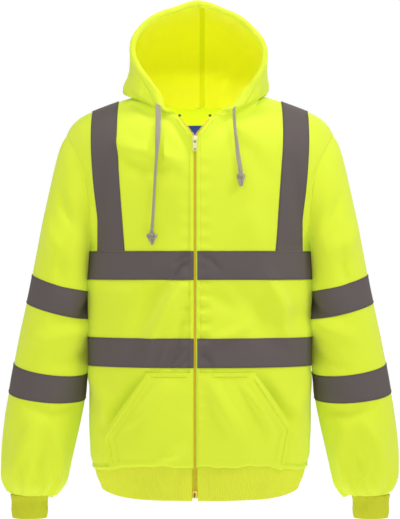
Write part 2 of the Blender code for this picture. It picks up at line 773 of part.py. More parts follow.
def hood(side):
    """Half of the hood, with a thick folded rim that holds the drawcord."""
    sign = SIDES[side]
    centre = Vector((0.0, -0.01, 0.0))
    base = hood_base(side)
    outside = hood_outside(side)
    inside = [[point + inward * (HOOD_SEAT + FLEECE) for point, inward in base]]
    last_row = len(outside) - 1
    last_column = len(HOOD_STEPS) - 1
    for i in range(1, last_row + 1):
        line = []
        for j, point in enumerate(outside[i]):
            along = outside[i][min(j + 1, last_column)] - outside[i][max(j - 1, 0)]
            up = outside[min(i + 1, last_row)][j] - outside[i - 1][j]
            if i == last_row:
                normal = Vector((0.0, along.z, -along.y))
            elif j == last_column:
                normal = Vector((0.0, -up.z, up.y))
            else:
                normal = sign * up.cross(along)
            normal.normalize()
            inner = centre + Vector((0.0, 0.02, 0.09))
            if normal.dot(inner - point) < 0.0:
                normal.negate()
            thick = HOOD_RIM_WALL[j] if j < len(HOOD_RIM_WALL) else FLEECE
            line.append(point + normal * thick)
        inside.append(line)
    return wall(f"hood_{side}", outside, inside, "fleece")


def pocket_reach(side, height):
    """Distance of the pocket's outer edge from the middle at a height."""
    top, corner, foot = POCKET_EDGE[side]
    return between(((foot[1], foot[0]), (corner[1], corner[0]), (top[1], top[0])), height, 1)


def surface_row(height):
    """Torso row just below a height, and the share of the way to the next."""
    for row in range(TOP_ROW):
        low, high = TORSO_ROWS[row][0], TORSO_ROWS[row + 1][0]
        if height <= high:
            return row, max(0.0, (height - low) / (high - low))
    return TOP_ROW - 1, 1.0


def surface_point(x, height, face, inset):
    """Point of the torso surface at any height, between two of its rows."""
    row, share = surface_row(height)
    low = torso_point(row, x, TORSO_ROWS[row][0], face, inset)
    high = torso_point(row + 1, x, TORSO_ROWS[row + 1][0], face, inset)
    return low.lerp(high, share)


def pocket(side):
    """Half of the kangaroo pocket, standing off the front along its slanted opening."""
    sign = SIDES[side]
    _, corner, foot = POCKET_EDGE[side]
    heights = [foot[1], (foot[1] + corner[1]) / 2]
    slope = POCKET_EDGE[side][0][1] - corner[1]
    heights += [corner[1] + slope * step / 5 for step in range(6)]
    heights.append(POCKET_TOP)
    skins = [[], []]
    for height in heights:
        reach = pocket_reach(side, height)
        start = sign * zip_x(side, height, ZIP_EDGE)
        slant = max(0.0, min(1.0, (height - corner[1]) / slope))
        gape = POCKET_GAPE * math.sin(math.pi * slant)
        for skin, thick in zip(skins, (FLEECE, 0.0)):
            line = []
            for step in range(POCKET_CELLS + 1):
                share = step / POCKET_CELLS
                x = sign * (start + (reach - start) * share)
                edge = math.sin(math.pi * min(1.0, max(0.0, (height - foot[1]) / (POCKET_TOP - foot[1]))))
                stand = POCKET_LIFT + gape * share ** 3
                stand += fold_sum(POCKET_FOLDS, x, height) * min(1.0, 2.0 * edge) * min(1.0, 6.0 * share)
                line.append(surface_point(x, height, -1, -stand - thick))
            skin.append(line)
    return wall(f"pocket_{side}", skins[0], skins[1], "fleece")


def zip_tape(side):
    """Woven zip tape behind the front edge, from the hem up along the V."""
    skins = [[], []]
    for inset, skin in zip((ZIP_INSET, ZIP_INSET + ZIP_TAPE), skins):
        for row in (3, 2, 1):
            height, half, front_depth, _ = HEM_ROWS[row]
            line = []
            for off in (HALF_GAP, ZIP_EDGE, ZIP_TAPE_WIDTH):
                x = ZIP_X + SIDES[side] * off
                line.append(hem_point(row, x, -1, inset + RIB - FLEECE))
            skin.append(line)
        for row in range(TOP_ROW + 1):
            _, middle = front_columns(side, row)[0]
            middle = min(middle, NECK_BASE + V_HEIGHT - ZIP_TOP_TRIM)
            behind = inset + RIB - FLEECE if row == 0 else inset
            if row == TOP_ROW - 1:
                continue
            line = []
            for off in (HALF_GAP, ZIP_EDGE, ZIP_TAPE_WIDTH):
                x = zip_x(side, middle, off)
                line.append(torso_point(row, x, middle, -1, behind))
            skin.append(line)
    return wall(f"zip_tape_{side}", skins[0], skins[1], "zip_tape")


def neck_label():
    """Bare label inside the back neck, seen through the V of the zip."""
    skins = []
    for inset in (FLEECE + LAY_GAP, FLEECE + LAY_GAP + LABEL):
        low, high = (back_points(row, inset) for row in LABEL_ROWS)
        middle = len(low) // 2
        rows = []
        for share in (0.0, LABEL_TOP):
            line = [a.lerp(b, share) for a, b in zip(low, high)][middle - 2:middle + 3]
            line[0] = line[1].lerp(line[0], LABEL_OVERHANG)
            line[-1] = line[-2].lerp(line[-1], LABEL_OVERHANG)
            rows.append(line)
        skins.append(rows)
    return wall("neck_label", skins[0], skins[1], "label")


def block(name, size, centre, tilt, kind):
    """Small rounded metal block, leaning back by a tilt about X."""
    body = bmesh.new()
    bmesh.ops.create_cube(body, size=1.0)
    bmesh.ops.scale(body, vec=Vector(size), verts=body.verts)
    mesh = bpy.data.meshes.new(name)
    body.to_mesh(mesh)
    body.free()
    piece = add_object(name, mesh, kind)
    piece.location = centre
    piece.rotation_euler = (tilt, 0.0, 0.0)
    rounded = piece.modifiers.new("rounded edges", "BEVEL")
    rounded.width = BLOCK_ROUNDING
    rounded.segments = 2
    return piece


def zip_slider():
    """Slider body with the wire bridge that holds the pull tab."""
    slider = block("zip_slider", SLIDER_SIZE, SLIDER_CENTRE, SLIDER_TILT, "metal")
    bpy.ops.mesh.primitive_torus_add(
        major_radius=BRIDGE_RADIUS, minor_radius=BRIDGE_WIRE, major_segments=24, minor_segments=8,
        location=PULL_AXIS, rotation=(0.0, math.pi / 2, 0.0))
    bridge = bpy.context.object
    bridge.name = "bridge_guide"
    bridge.hide_render = True
    bridge.display_type = "WIRE"
    for collection in list(bridge.users_collection):
        collection.objects.unlink(bridge)
    bpy.data.collections["guides"].objects.link(bridge)
    joined = slider.modifiers.new("bridge", "BOOLEAN")
    joined.operation = "UNION"
    joined.object = bridge
    return slider


def outline(curve, points):
    """Add one closed straight-sided outline to a flat curve."""
    spline = curve.splines.new("POLY")
    spline.points.add(len(points) - 1)
    for target, (x, y) in zip(spline.points, points):
        target.co = (x, y, 0.0, 1.0)
    spline.use_cyclic_u = True


def zip_pull():
    """Flat pull tab hanging from the bridge, its origin on the hinge."""
    curve = bpy.data.curves.new("zip_pull", "CURVE")
    curve.dimensions = "2D"
    curve.fill_mode = "BOTH"
    curve.extrude = PULL_THICK / 2
    foot = PULL_LENGTH - PULL_HALF
    edge = [(-PULL_HALF + 0.0006, PULL_TOP), (-PULL_HALF, PULL_TOP - 0.0006)]
    for step in range(9):
        turn = math.pi * step / 8
        edge.append((-PULL_HALF * math.cos(turn), -foot - PULL_HALF * math.sin(turn)))
    edge += [(PULL_HALF, PULL_TOP - 0.0006), (PULL_HALF - 0.0006, PULL_TOP)]
    outline(curve, edge)
    half, top, bottom = PULL_WINDOW
    outline(curve, [(-half, top), (half, top), (half, bottom), (-half, bottom)])
    height, radius = PULL_HOLE
    turns = [2 * math.pi * step / 12 for step in range(12)]
    outline(curve, [(radius * math.cos(turn), height + radius * math.sin(turn)) for turn in turns])
    curve.materials.append(material("metal").copy())
    pull = bpy.data.objects.new("zip_pull", curve)
    pull.location = PULL_AXIS
    pull.rotation_euler = (math.pi / 2, 0.0, 0.0)
    bpy.data.collections[OBJECT_NAME].objects.link(pull)
    return pull


def hood_spot(side):
    """Place and outward direction of the eyelet on the hood."""
    outside = hood_outside(side)
    section, column = EYELET_SPOT[side]
    i, j = int(section), int(column)
    along, up = column - j, section - i
    low = outside[i][j].lerp(outside[i][j + 1], along)
    high = outside[i + 1][j].lerp(outside[i + 1][j + 1], along)
    place = low.lerp(high, up)
    normal = (outside[i][j + 1] - outside[i][j]).cross(high - low).normalized()
    if normal.y > 0.0:
        normal.negate()
    return place, normal


def eyelet(side):
    """Round eyelet on the hood's edge where the drawcord comes out."""
    place, normal = hood_spot(side)
    across = normal.orthogonal().normalized()
    beside = normal.cross(across)
    skins = []
    for radius in (EYELET_OUTER, EYELET_HOLE):
        rows = []
        for lift in (EYELET_LIFT[side], EYELET_LIFT[side] + EYELET_THICK):
            loop = []
            for step in range(EYELET_SIDES):
                turn = 2 * math.pi * step / EYELET_SIDES
                ring = across * math.cos(turn) + beside * math.sin(turn)
                loop.append(place + normal * lift + ring * radius)
            rows.append(loop)
        skins.append(rows)
    return wall(f"eyelet_{side}", skins[0], skins[1], "metal", closed=True)


def smooth_route(route, step):
    """Evenly spaced points on a smooth curve through a route's own points."""
    ends = [Vector(point) for point in route]
    points = [2 * ends[0] - ends[1]] + ends + [2 * ends[-1] - ends[-2]]
    fine = []
    for a, b, c, d in zip(points, points[1:], points[2:], points[3:]):
        for part in range(8):
            t = part / 8
            fine.append(0.5 * (2 * b + (c - a) * t + (2 * a - 5 * b + 4 * c - d) * t * t
                               + (3 * b - a - 3 * c + d) * t ** 3))
    fine.append(ends[-1])
    lengths = [0.0]
    for a, b in zip(fine, fine[1:]):
        lengths.append(lengths[-1] + (b - a).length)
    count = max(2, round(lengths[-1] / step))
    found = []
    for index in range(count + 1):
        want = lengths[-1] * index / count
        place = max(k for k, length in enumerate(lengths) if length <= want + 1e-9)
        if place == len(fine) - 1:
            found.append(fine[-1])
            continue
        share = (want - lengths[place]) / (lengths[place + 1] - lengths[place])
        found.append(fine[place].lerp(fine[place + 1], share))
    return found


def drawcord(side):
    """Free end of the drawcord, hanging from its eyelet to its knot."""
    name = f"drawcord_{side}"
    curve = bpy.data.curves.new(name, "CURVE")
    curve.dimensions = "3D"
    curve.bevel_depth = CORD_RADIUS
    curve.bevel_resolution = 2
    curve.use_fill_caps = True
    points = smooth_route(CORD_ROUTE[side], CORD_STEP)
    spline = curve.splines.new("POLY")
    spline.points.add(len(points) - 1)
    for target, point in zip(spline.points, points):
        target.co = (*point, 1.0)
    curve.materials.append(material("cord").copy())
    cord = bpy.data.objects.new(name, curve)
    bpy.data.collections[OBJECT_NAME].objects.link(cord)
    return cord


def cord_knot(side):
    """Overhand knot at the end of the cord, as a rounded lump."""
    centre, radii = KNOTS[side]
    body = bmesh.new()
    bmesh.ops.create_uvsphere(body, u_segments=10, v_segments=8, radius=1.0)
    bmesh.ops.scale(body, vec=Vector(radii), verts=body.verts)
    mesh = bpy.data.meshes.new(f"cord_knot_{side}")
    body.to_mesh(mesh)
    body.free()
    knot = add_object(f"cord_knot_{side}", mesh, "cord")
    knot.location = centre
    return knot


def build():
    """Make every piece."""
    clear_scene()
    for name in (OBJECT_NAME, "guides"):
        bpy.context.scene.collection.children.link(bpy.data.collections.new(name))
    back()
    for side in SIDES:
        front(side)
        sleeve(side)
        cuff(side)
        hood(side)
        pocket(side)
        zip_tape(side)
        shoulder_tape(side)
        sleeve_band(side, "upper", UPPER_BAND_ROWS)
        sleeve_band(side, "lower", LOWER_BAND_ROWS)
        eyelet(side)
        drawcord(side)
        cord_knot(side)
    hem_rib()
    neck_label()
    zip_slider()
    zip_pull()
    block("zip_box", BOX_SIZE, BOX_CENTRE, BOX_TILT, "metal")
    body_tapes("chest_tape", CHEST_TAPE_ROWS)
    body_tapes("waist_tape", WAIST_TAPE_ROWS)


build()
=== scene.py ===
"""Hi-vis hooded sweatshirt: cloth, tapes, cords and zip dressed over the part's own solids.

Metres, +Z up, the front faces -Y and the wearer's left side is at +X.
"""
import logging
import math
from dataclasses import dataclass, field
from enum import Enum
from typing import Callable, Iterable, Sequence

import bmesh
import bpy
import numpy as np
from mathutils import Matrix, Vector
from mathutils.bvhtree import BVHTree


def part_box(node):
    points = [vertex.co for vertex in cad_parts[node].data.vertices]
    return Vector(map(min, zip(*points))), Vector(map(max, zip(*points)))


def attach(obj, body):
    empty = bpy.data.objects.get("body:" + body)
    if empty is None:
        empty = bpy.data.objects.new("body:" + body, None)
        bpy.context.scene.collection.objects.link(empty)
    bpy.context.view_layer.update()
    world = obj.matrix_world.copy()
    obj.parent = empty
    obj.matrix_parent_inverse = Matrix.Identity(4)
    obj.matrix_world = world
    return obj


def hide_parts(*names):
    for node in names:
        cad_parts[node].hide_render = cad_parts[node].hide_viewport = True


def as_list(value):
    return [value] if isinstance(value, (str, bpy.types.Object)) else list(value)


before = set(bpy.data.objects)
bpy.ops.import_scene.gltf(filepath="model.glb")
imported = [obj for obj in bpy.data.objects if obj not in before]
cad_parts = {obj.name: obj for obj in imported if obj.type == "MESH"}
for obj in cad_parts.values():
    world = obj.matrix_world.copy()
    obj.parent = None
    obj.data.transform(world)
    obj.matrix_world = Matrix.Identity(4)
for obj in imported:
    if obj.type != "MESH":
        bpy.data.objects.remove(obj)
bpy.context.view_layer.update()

LOG = logging.getLogger("sweatshirt")

Numbers = np.ndarray
Piece = bpy.types.Object
Shape = bpy.types.Mesh
Tree = bpy.types.NodeTree
Node = bpy.types.Node
Link = tuple[Node, str | int, Node, str | int]
Pair = tuple[float, float]
Triple = tuple[float, float, float]
Quad = tuple[float, float, float, float]
Faces = list[tuple[int, ...]]
Spot = Vector | Numbers
Path = Sequence[Sequence[float]]
PlaceMap = Callable[[Numbers], Numbers]
Outline = Callable[[float], Sequence[Pair]]

SHOULDER_TOP = 0.028
SHOULDER_ROUND = 0.085
ZIP_X = -0.0088
ZIP_EDGE = 0.0048
NECK_BASE = -0.0488
V_HEIGHT = 0.0361
V_SPREAD = 0.0268
FRONT_Y = -0.125
FAR = 9.0
ACROSS = Vector((1.0, 0.0, 0.0))
FORWARD = Vector((0.0, -1.0, 0.0))
BACKWARD = Vector((0.0, 1.0, 0.0))


class Side(Enum):
    """Which half of the garment, by the sign of x."""

    RIGHT = -1
    LEFT = 1

    @property
    def word(self) -> str:
        """The half's word in node names."""
        return self.name.lower()


class Weave(Enum):
    """How a cloth's yarns lie, which picks the pattern of its bump."""

    FLEECE = "fleece"
    RIB = "rib"
    PLAIN = "plain"
    BRAID = "braid"


def smooth_step(low: float, high: float, value: Numbers) -> Numbers:
    """Ease from 0 at low to 1 at high, which may be the smaller number.

    Args:
        low: Value where the ease starts.
        high: Value where it ends.
        value: Where to read it.

    Returns:
        The eased shares.
    """
    share = np.clip((value - low) / (high - low), 0.0, 1.0)
    return share * share * (3.0 - 2.0 * share)


def mound(value: Numbers, middle: float, width: float, power: int = 2) -> Numbers:
    """Soft hump of height 1.

    Args:
        value: Where to read it.
        middle: Where it is highest.
        width: Distance from there to where it is down to a third.
        power: How flat its top is, an even number.

    Returns:
        Heights from 0 to 1.
    """
    return np.exp(-((value - middle) / width) ** power)


def unit(ways: Numbers) -> Numbers:
    """Scale each row of an array to length 1."""
    return ways / np.maximum(1e-12, np.linalg.norm(ways, axis=1, keepdims=True))


def path_length(path: Sequence[Vector]) -> float:
    """Length of a path in metres."""
    return sum((b - a).length for a, b in zip(path, path[1:]))


def even_path(points: Path, step: float) -> list[Vector]:
    """Run a smooth curve through points and return evenly spaced places on it.

    Args:
        points: Places the curve passes through.
        step: Wanted distance between neighbours in metres.

    Returns:
        The places, with the first and last point among them.
    """
    parts = 12
    ends = [Vector(point) for point in points]
    held = [2 * ends[0] - ends[1]] + ends + [2 * ends[-1] - ends[-2]]
    fine: list[Vector] = []
    for a, b, c, d in zip(held, held[1:], held[2:], held[3:]):
        for part in range(parts):
            t = part / parts
            fine.append(0.5 * (2 * b + (c - a) * t + (2 * a - 5 * b + 4 * c - d) * t * t
                               + (3 * b - a - 3 * c + d) * t ** 3))
    fine.append(ends[-1])
    lengths = [0.0]
    for a, b in zip(fine, fine[1:]):
        lengths.append(lengths[-1] + (b - a).length)
    count = max(2, round(lengths[-1] / step))
    found: list[Vector] = []
    place = 0
    for index in range(count + 1):
        want = lengths[-1] * index / count
        while place < len(fine) - 2 and lengths[place + 1] < want:
            place += 1
        share = (want - lengths[place]) / max(1e-9, lengths[place + 1] - lengths[place])
        found.append(fine[place].lerp(fine[place + 1], min(1.0, share)))
    return found


# Shader helpers


def add_node(tree: Tree, kind: str, values: dict[str | int, object] | None = None,
             **choices: object) -> Node:
    """Add a node to a tree.

    Args:
        tree: The tree.
        kind: The node's type.
        values: Constant of each input by name or number.
        choices: The node's own settings, made first.

    Returns:
        The node.
    """
    node = tree.nodes.new(kind)
    for label, choice in choices.items():
        setattr(node, label, choice)
    for label, value in (values or {}).items():
        node.inputs[label].default_value = value
    return node


def join(tree: Tree, *links: Link) -> None:
    """Link nodes of a tree.

    Args:
        tree: The tree.
        links: A node and its output, then a node and its input.
    """
    for source, given, target, taken in links:
        tree.links.new(source.outputs[given], target.inputs[taken])


def new_material(name: str, values: dict[str, float]) -> tuple[bpy.types.Material, Node]:
    """Start a material with constants on its shader.

    Args:
        name: The material's name.
        values: Constant of each shader input by name.

    Returns:
        The material and its shader.
    """
    made = bpy.data.materials.new(name)
    made.use_nodes = True
    shader = made.node_tree.nodes["Principled BSDF"]
    for label, value in values.items():
        shader.inputs[label].default_value = value
    return made, shader


def new_group(name: str, takes: dict[str, str], gives: dict[str, str],
              fill: Callable[[Tree, Node, Node], None]) -> Tree:
    """Make a shared shader node group, or return it if it is made.

    Args:
        name: The group's name.
        takes: Type of each input by name.
        gives: Type of each output by name.
        fill: Lays the nodes between the input node and the output node.

    Returns:
        The node group.
    """
    tree = bpy.data.node_groups.get(name)
    if tree:
        return tree
    tree = bpy.data.node_groups.new(name, "ShaderNodeTree")
    for way, sockets in (("INPUT", takes), ("OUTPUT", gives)):
        for label, kind in sockets.items():
            tree.interface.new_socket(label, in_out=way, socket_type=f"NodeSocket{kind}")
    fill(tree, tree.nodes.new("NodeGroupInput"), tree.nodes.new("NodeGroupOutput"))
    return tree


def lay_tone(tree: Tree, takes: Node, gives: Node) -> None:
    """Colour that varies softly over the cloth at random, and is made a little deeper between the yarns as
    painted shade.

    Args:
        tree: The group's tree.
        takes: Its input node.
        gives: Its output node.
    """
    cloud = add_node(tree, "ShaderNodeTexNoise", {"Detail": 3.0})
    share = add_node(tree, "ShaderNodeMath", {1: 0.55}, operation="MULTIPLY_ADD")
    mix = add_node(tree, "ShaderNodeMix", data_type="RGBA")
    join(tree, (takes, "Place", cloud, "Vector"), (takes, "Patches", cloud, "Scale"),
         (cloud, "Fac", share, 0), (takes, "Yarn Shade", share, 2), (share, 0, mix, "Factor"),
         (takes, "Light", mix, "A"), (takes, "Deep", mix, "B"), (mix, "Result", gives, "Colour"))


def lay_yarn(tree: Tree, takes: Node, gives: Node) -> None:
    """Yarn pattern: a crossed grid of threads mixed with loose nap, given as a height and as painted shade
    that is darkest between the yarns.

    Args:
        tree: The group's tree.
        takes: Its input node.
        gives: Its output node.
    """
    scaled = add_node(tree, "ShaderNodeVectorMath", operation="SCALE")
    nap = add_node(tree, "ShaderNodeTexNoise", {"Scale": 0.8, "Detail": 4.0})
    crossed = add_node(tree, "ShaderNodeMath", operation="MULTIPLY")
    for number, direction in enumerate("XY"):
        wave = add_node(tree, "ShaderNodeTexWave", {"Scale": 0.314, "Distortion": 0.4},
                        bands_direction=direction)
        join(tree, (scaled, 0, wave, "Vector"), (wave, "Fac", crossed, number))
    grid = add_node(tree, "ShaderNodeMath", operation="MULTIPLY")
    total = add_node(tree, "ShaderNodeMath", operation="MULTIPLY_ADD")
    # Painted shade: the lower the yarn's surface, the deeper the colour it gives.
    shade = add_node(tree, "ShaderNodeMath", {1: -0.25, 2: 0.25}, operation="MULTIPLY_ADD")
    join(tree, (takes, "Place", scaled, 0), (takes, "Threads", scaled, "Scale"), (scaled, 0, nap, "Vector"),
         (crossed, 0, grid, 0), (takes, "Grid", grid, 1), (nap, "Fac", total, 0), (takes, "Fuzz", total, 1),
         (grid, 0, total, 2), (total, 0, gives, "Height"), (total, 0, shade, 0), (shade, 0, gives, "Shade"))


def lay_wear(tree: Tree, takes: Node, gives: Node) -> None:
    """Handled trim: colour and polish that vary a little in small patches.

    Args:
        tree: The group's tree.
        takes: Its input node.
        gives: Its output node.
    """
    speck = add_node(tree, "ShaderNodeTexNoise", {"Scale": 420.0, "Detail": 2.0})
    mix = add_node(tree, "ShaderNodeMix", data_type="RGBA")
    rough = add_node(tree, "ShaderNodeMath", {1: 0.12}, operation="MULTIPLY_ADD")
    join(tree, (takes, "Place", speck, "Vector"), (speck, "Fac", mix, "Factor"), (takes, "Light", mix, "A"),
         (takes, "Deep", mix, "B"), (mix, "Result", gives, "Colour"), (speck, "Fac", rough, 0),
         (takes, "Polish", rough, 2), (rough, 0, gives, "Roughness"))


# Finishes


@dataclass(frozen=True)
class ClothFinish:
    """A cloth's colours and the depth of its yarns."""

    name: str
    light: Triple
    deep: Triple
    weave: Weave
    roughness: float = 0.85
    sheen: float = 0.0
    metallic: float = 0.0
    pitch: float = 0.0012
    relief: float = 0.3
    patch: float = 9.0
    # Painted glow: emission in the cloth's own colour that lifts its shade; on the hi-vis yellow cloths it
    # also stands for the dye's fluorescence.
    painted_glow: float = 0.0

    def material(self) -> bpy.types.Material:
        """Make the cloth's material, or return it if it is made.

        Returns:
            The procedural material.
        """
        made = bpy.data.materials.get(self.name)
        if made:
            return made
        made, shader = new_material(self.name, {
            "Roughness": self.roughness, "Metallic": self.metallic, "Sheen Weight": self.sheen,
            "Sheen Roughness": 0.6, "Specular IOR Level": 0.25})
        tree = made.node_tree
        place = add_node(tree, "ShaderNodeTexCoord")
        tone_shade_group = new_group("tone_and_yarn_shade", {"Place": "Vector", "Light": "Color", "Deep": "Color", "Patches": "Float",
                                     "Yarn Shade": "Float"}, {"Colour": "Color"}, lay_tone)
        tone = add_node(tree, "ShaderNodeGroup", {
            "Light": (*self.light, 1.0), "Deep": (*self.deep, 1.0), "Patches": self.patch}, node_tree=tone_shade_group)
        knit = new_group("yarn_relief", {"Place": "Vector", "Threads": "Float", "Fuzz": "Float",
                                         "Grid": "Float"}, {"Height": "Float", "Shade": "Float"}, lay_yarn)
        napped = self.weave is Weave.FLEECE
        yarn = add_node(tree, "ShaderNodeGroup", {
            "Threads": 1.0 / self.pitch, "Fuzz": 1.0 if napped else 0.35, "Grid": 0.0 if napped else 1.0},
            node_tree=knit)
        bump = add_node(tree, "ShaderNodeBump", {"Strength": self.relief, "Distance": 0.0006})
        source = "Object" if self.weave in (Weave.FLEECE, Weave.BRAID) else "UV"
        join(tree, (place, "Object", tone, "Place"), (place, source, yarn, "Place"),
             (yarn, "Shade", tone, "Yarn Shade"), (tone, "Colour", shader, "Base Color"),
             (yarn, "Height", bump, "Height"), (bump, "Normal", shader, "Normal"))
        # Painted glow: the cloth's colour also shines as emission, which is painted light.
        if self.painted_glow:
            join(tree, (tone, "Colour", shader, "Emission Color"))
            shader.inputs["Emission Strength"].default_value = self.painted_glow
        return made


@dataclass(frozen=True)
class MetalFinish:
    """A metal or enamelled trim."""

    name: str
    light: Triple
    deep: Triple
    roughness: float
    metallic: float

    def material(self) -> bpy.types.Material:
        """Make the trim's material, or return it if it is made.

        Returns:
            The procedural material.
        """
        made = bpy.data.materials.get(self.name)
        if made:
            return made
        made, shader = new_material(self.name, {"Metallic": self.metallic})
        tree = made.node_tree
        place = add_node(tree, "ShaderNodeTexCoord")
        handled = new_group("handled_trim", {"Place": "Vector", "Light": "Color", "Deep": "Color",
                                             "Polish": "Float"},
                            {"Colour": "Color", "Roughness": "Float"}, lay_wear)
        wear = add_node(tree, "ShaderNodeGroup", {
            "Light": (*self.light, 1.0), "Deep": (*self.deep, 1.0), "Polish": self.roughness},
            node_tree=handled)
        join(tree, (place, "Object", wear, "Place"), (wear, "Colour", shader, "Base Color"),
             (wear, "Roughness", shader, "Roughness"))
        return made


Finish = ClothFinish | MetalFinish

# Painted glow: the cloths below that glow shine in their own colour to lift their shade. On the hi-vis yellow
# cloths this also stands for the dye's fluorescence; on the blue label it is painted light alone.
FLEECE = ClothFinish("hivis_fleece", (0.650, 0.770, 0.032), (0.60, 0.71, 0.025), Weave.FLEECE,
                     sheen=0.12, painted_glow=0.14)
LINING = ClothFinish("hivis_nap", (0.87, 0.94, 0.028), (0.81, 0.87, 0.020), Weave.FLEECE,
                     sheen=0.2, relief=0.6, painted_glow=0.22)
# A more orange copy of the nap for the inside of the hood: painted bounce light from inside the hood.
HOOD_LINING_BOUNCE = ClothFinish("hivis_hood_nap_bounce", (0.88, 0.885, 0.018), (0.81, 0.815, 0.013), Weave.FLEECE,
                          sheen=0.15, relief=0.6, painted_glow=0.155)
# The hem's rib and the cuffs' rib are one knit: the hem's copy is lighter and the cuffs' copy darker, as
# painted light and shade.
RIB_KNIT = ClothFinish("hivis_rib", (0.74, 0.81, 0.052), (0.60, 0.66, 0.033), Weave.RIB,
                       roughness=0.9, painted_glow=0.10)
CUFF_KNIT_SHADED = ClothFinish("hivis_cuff_rib_shaded", (0.64, 0.68, 0.035), (0.48, 0.51, 0.02), Weave.RIB,
                        roughness=0.9, painted_glow=0.06)
TAPE = ClothFinish("reflective_tape", (0.066, 0.050, 0.049), (0.057, 0.043, 0.042), Weave.PLAIN,
                   roughness=0.55, metallic=0.15, pitch=0.0009, relief=0.12, patch=6.0)
ZIP_CLOTH = ClothFinish("zip_cloth", (0.76, 0.86, 0.04), (0.68, 0.76, 0.03), Weave.PLAIN,
                        pitch=0.0008, painted_glow=0.08)
CORD_CLOTH = ClothFinish("cord_cotton", (0.47, 0.44, 0.36), (0.36, 0.33, 0.26), Weave.BRAID,
                         pitch=0.0007, relief=0.7)
# Painted light: the label's glow brightens its blue.
LABEL_CLOTH = ClothFinish("label_satin", (0.012, 0.045, 0.62), (0.010, 0.035, 0.50), Weave.PLAIN,
                          roughness=0.45, pitch=0.0006, relief=0.1, painted_glow=0.20)
THREAD = ClothFinish("sewing_thread", (0.66, 0.78, 0.03), (0.56, 0.66, 0.02), Weave.BRAID, pitch=0.0004)
GREY_THREAD = ClothFinish("grey_thread", (0.115, 0.098, 0.094), (0.090, 0.076, 0.072), Weave.BRAID,
                          pitch=0.0004)
SEAM_TAPE = ClothFinish("seam_tape", (0.74, 0.77, 0.008), (0.66, 0.69, 0.006), Weave.BRAID,
                        pitch=0.0009, painted_glow=0.18)
# Painted shade: near-black put in the eyelets' holes, where there is only shade.
SHADOW = ClothFinish("painted_hole_shade", (0.03, 0.035, 0.01), (0.02, 0.025, 0.008), Weave.FLEECE)
ENAMEL = MetalFinish("zip_enamel", (0.95, 0.68, 0.05), (0.84, 0.56, 0.03), 0.35, 0.1)
BRASS = MetalFinish("zip_brass", (0.90, 0.90, 0.50), (0.78, 0.76, 0.36), 0.34, 0.35)
# Dark bronze of the zip's top stops; also put as painted shade in the slider's gap, the pull's eye and the
# box's slot.
DARK_METAL_AND_SHADE = MetalFinish("zip_bronze_and_shade", (0.16, 0.15, 0.05), (0.10, 0.09, 0.03), 0.4, 0.7)
EYELET_METAL = MetalFinish("eyelet_metal", (0.55, 0.56, 0.20), (0.42, 0.42, 0.12), 0.35, 0.6)


# Cloth shells


CUT_ANGLE = math.radians(52.0)
FLAT_ANGLE = math.radians(35)
SQUARE_ANGLE = math.radians(80)
SMOOTH_ANGLE = math.radians(48)
OUTSIDE = 0.3
INWARD = -0.35
TUBE_RADIUS = 0.16
NEAR = 0.02
STRIP_STEP = 0.004
STRIP_PROFILE = ((-0.5, -0.25), (-0.44, 0.45), (-0.32, 0.9), (0.0, 1.0),
                 (0.32, 0.9), (0.44, 0.45), (0.5, -0.25))


def fading(share: Numbers, index: int, last: int) -> Numbers:
    """How high a ridge still is at a share of one part of its line, low at both of the line's ends.

    Args:
        share: Shares of the way along the part.
        index: Number of the part.
        last: How many parts the line has.

    Returns:
        Shares of the ridge's full height.
    """
    return np.sin(np.pi * (0.08 + 0.84 * (index + share) / last)) ** 0.7


@dataclass(frozen=True)
class Crease:
    """One soft ridge (positive height) or trough of the cloth, laid along a line.

    The two numbers of a place are x and z on the body, and degrees round and z on a sleeve.
    """

    places: tuple[Pair, ...]
    width: float
    height: float
    lean: float = 0.0

    def at(self, across: Numbers, up: Numbers, scale: float = 1.0) -> Numbers:
        """Height of the crease at many places, fading towards both ends of its line.

        Args:
            across: First numbers of the places.
            up: Their heights z.
            scale: Metres for one unit of the first number.

        Returns:
            Heights in metres.
        """
        best = np.full(across.shape, FAR)
        found = np.zeros(across.shape)
        for index, ((x1, z1), (x2, z2)) in enumerate(zip(self.places, self.places[1:])):
            run_x, run_z = (x2 - x1) * scale, z2 - z1
            off_x, off_z = (across - x1) * scale, up - z1
            share = np.clip((off_x * run_x + off_z * run_z) / (run_x ** 2 + run_z ** 2), 0.0, 1.0)
            away = np.hypot(off_x - share * run_x, off_z - share * run_z)
            side = np.sign(off_x * run_z - off_z * run_x)
            wide = self.width * (1.0 + self.lean * side)
            height = self.height * fading(share, index, len(self.places) - 1) * mound(away, 0.0, wide)
            nearer = away < best
            best = np.where(nearer, away, best)
            found = np.where(nearer, height, found)
        return found


def ridges(kind: type, scales: Sequence[int], rows: Sequence[tuple]) -> list:
    """Read a table of creases or folds.

    Args:
        kind: The class of its rows.
        scales: What one metre, or one degree, is written as for each number of a place.
        rows: The numbers of all places in turn, width and height in tenths of a millimetre, and a lean.

    Returns:
        A crease or fold for each row.
    """
    size = len(scales)
    found = []
    for numbers, width, height, *lean in rows:
        scaled = [number / scales[index % size] for index, number in enumerate(numbers)]
        places = tuple(tuple(scaled[start:start + size]) for start in range(0, len(scaled), size))
        found.append(kind(places, width / 10000, height / 10000, *lean))
    return found


def new_object(name: str, data: bpy.types.ID) -> Piece:
    """Put an object into the scene.

    Args:
        name: Its name.
        data: Its mesh, light or camera.

    Returns:
        The object.
    """
    made = bpy.data.objects.new(name, data)
    bpy.context.scene.collection.objects.link(made)
    return made


def points_of(mesh: Shape) -> Numbers:
    """All points of a mesh.

    Args:
        mesh: The mesh.

    Returns:
        Rows of x, y, z.
    """
    flat = np.empty(len(mesh.vertices) * 3)
    mesh.vertices.foreach_get("co", flat)
    return flat.reshape(-1, 3)


def put_points(mesh: Shape, points: Numbers) -> None:
    """Write rows of x, y, z back to a mesh."""
    mesh.vertices.foreach_set("co", points.ravel())
    mesh.update()


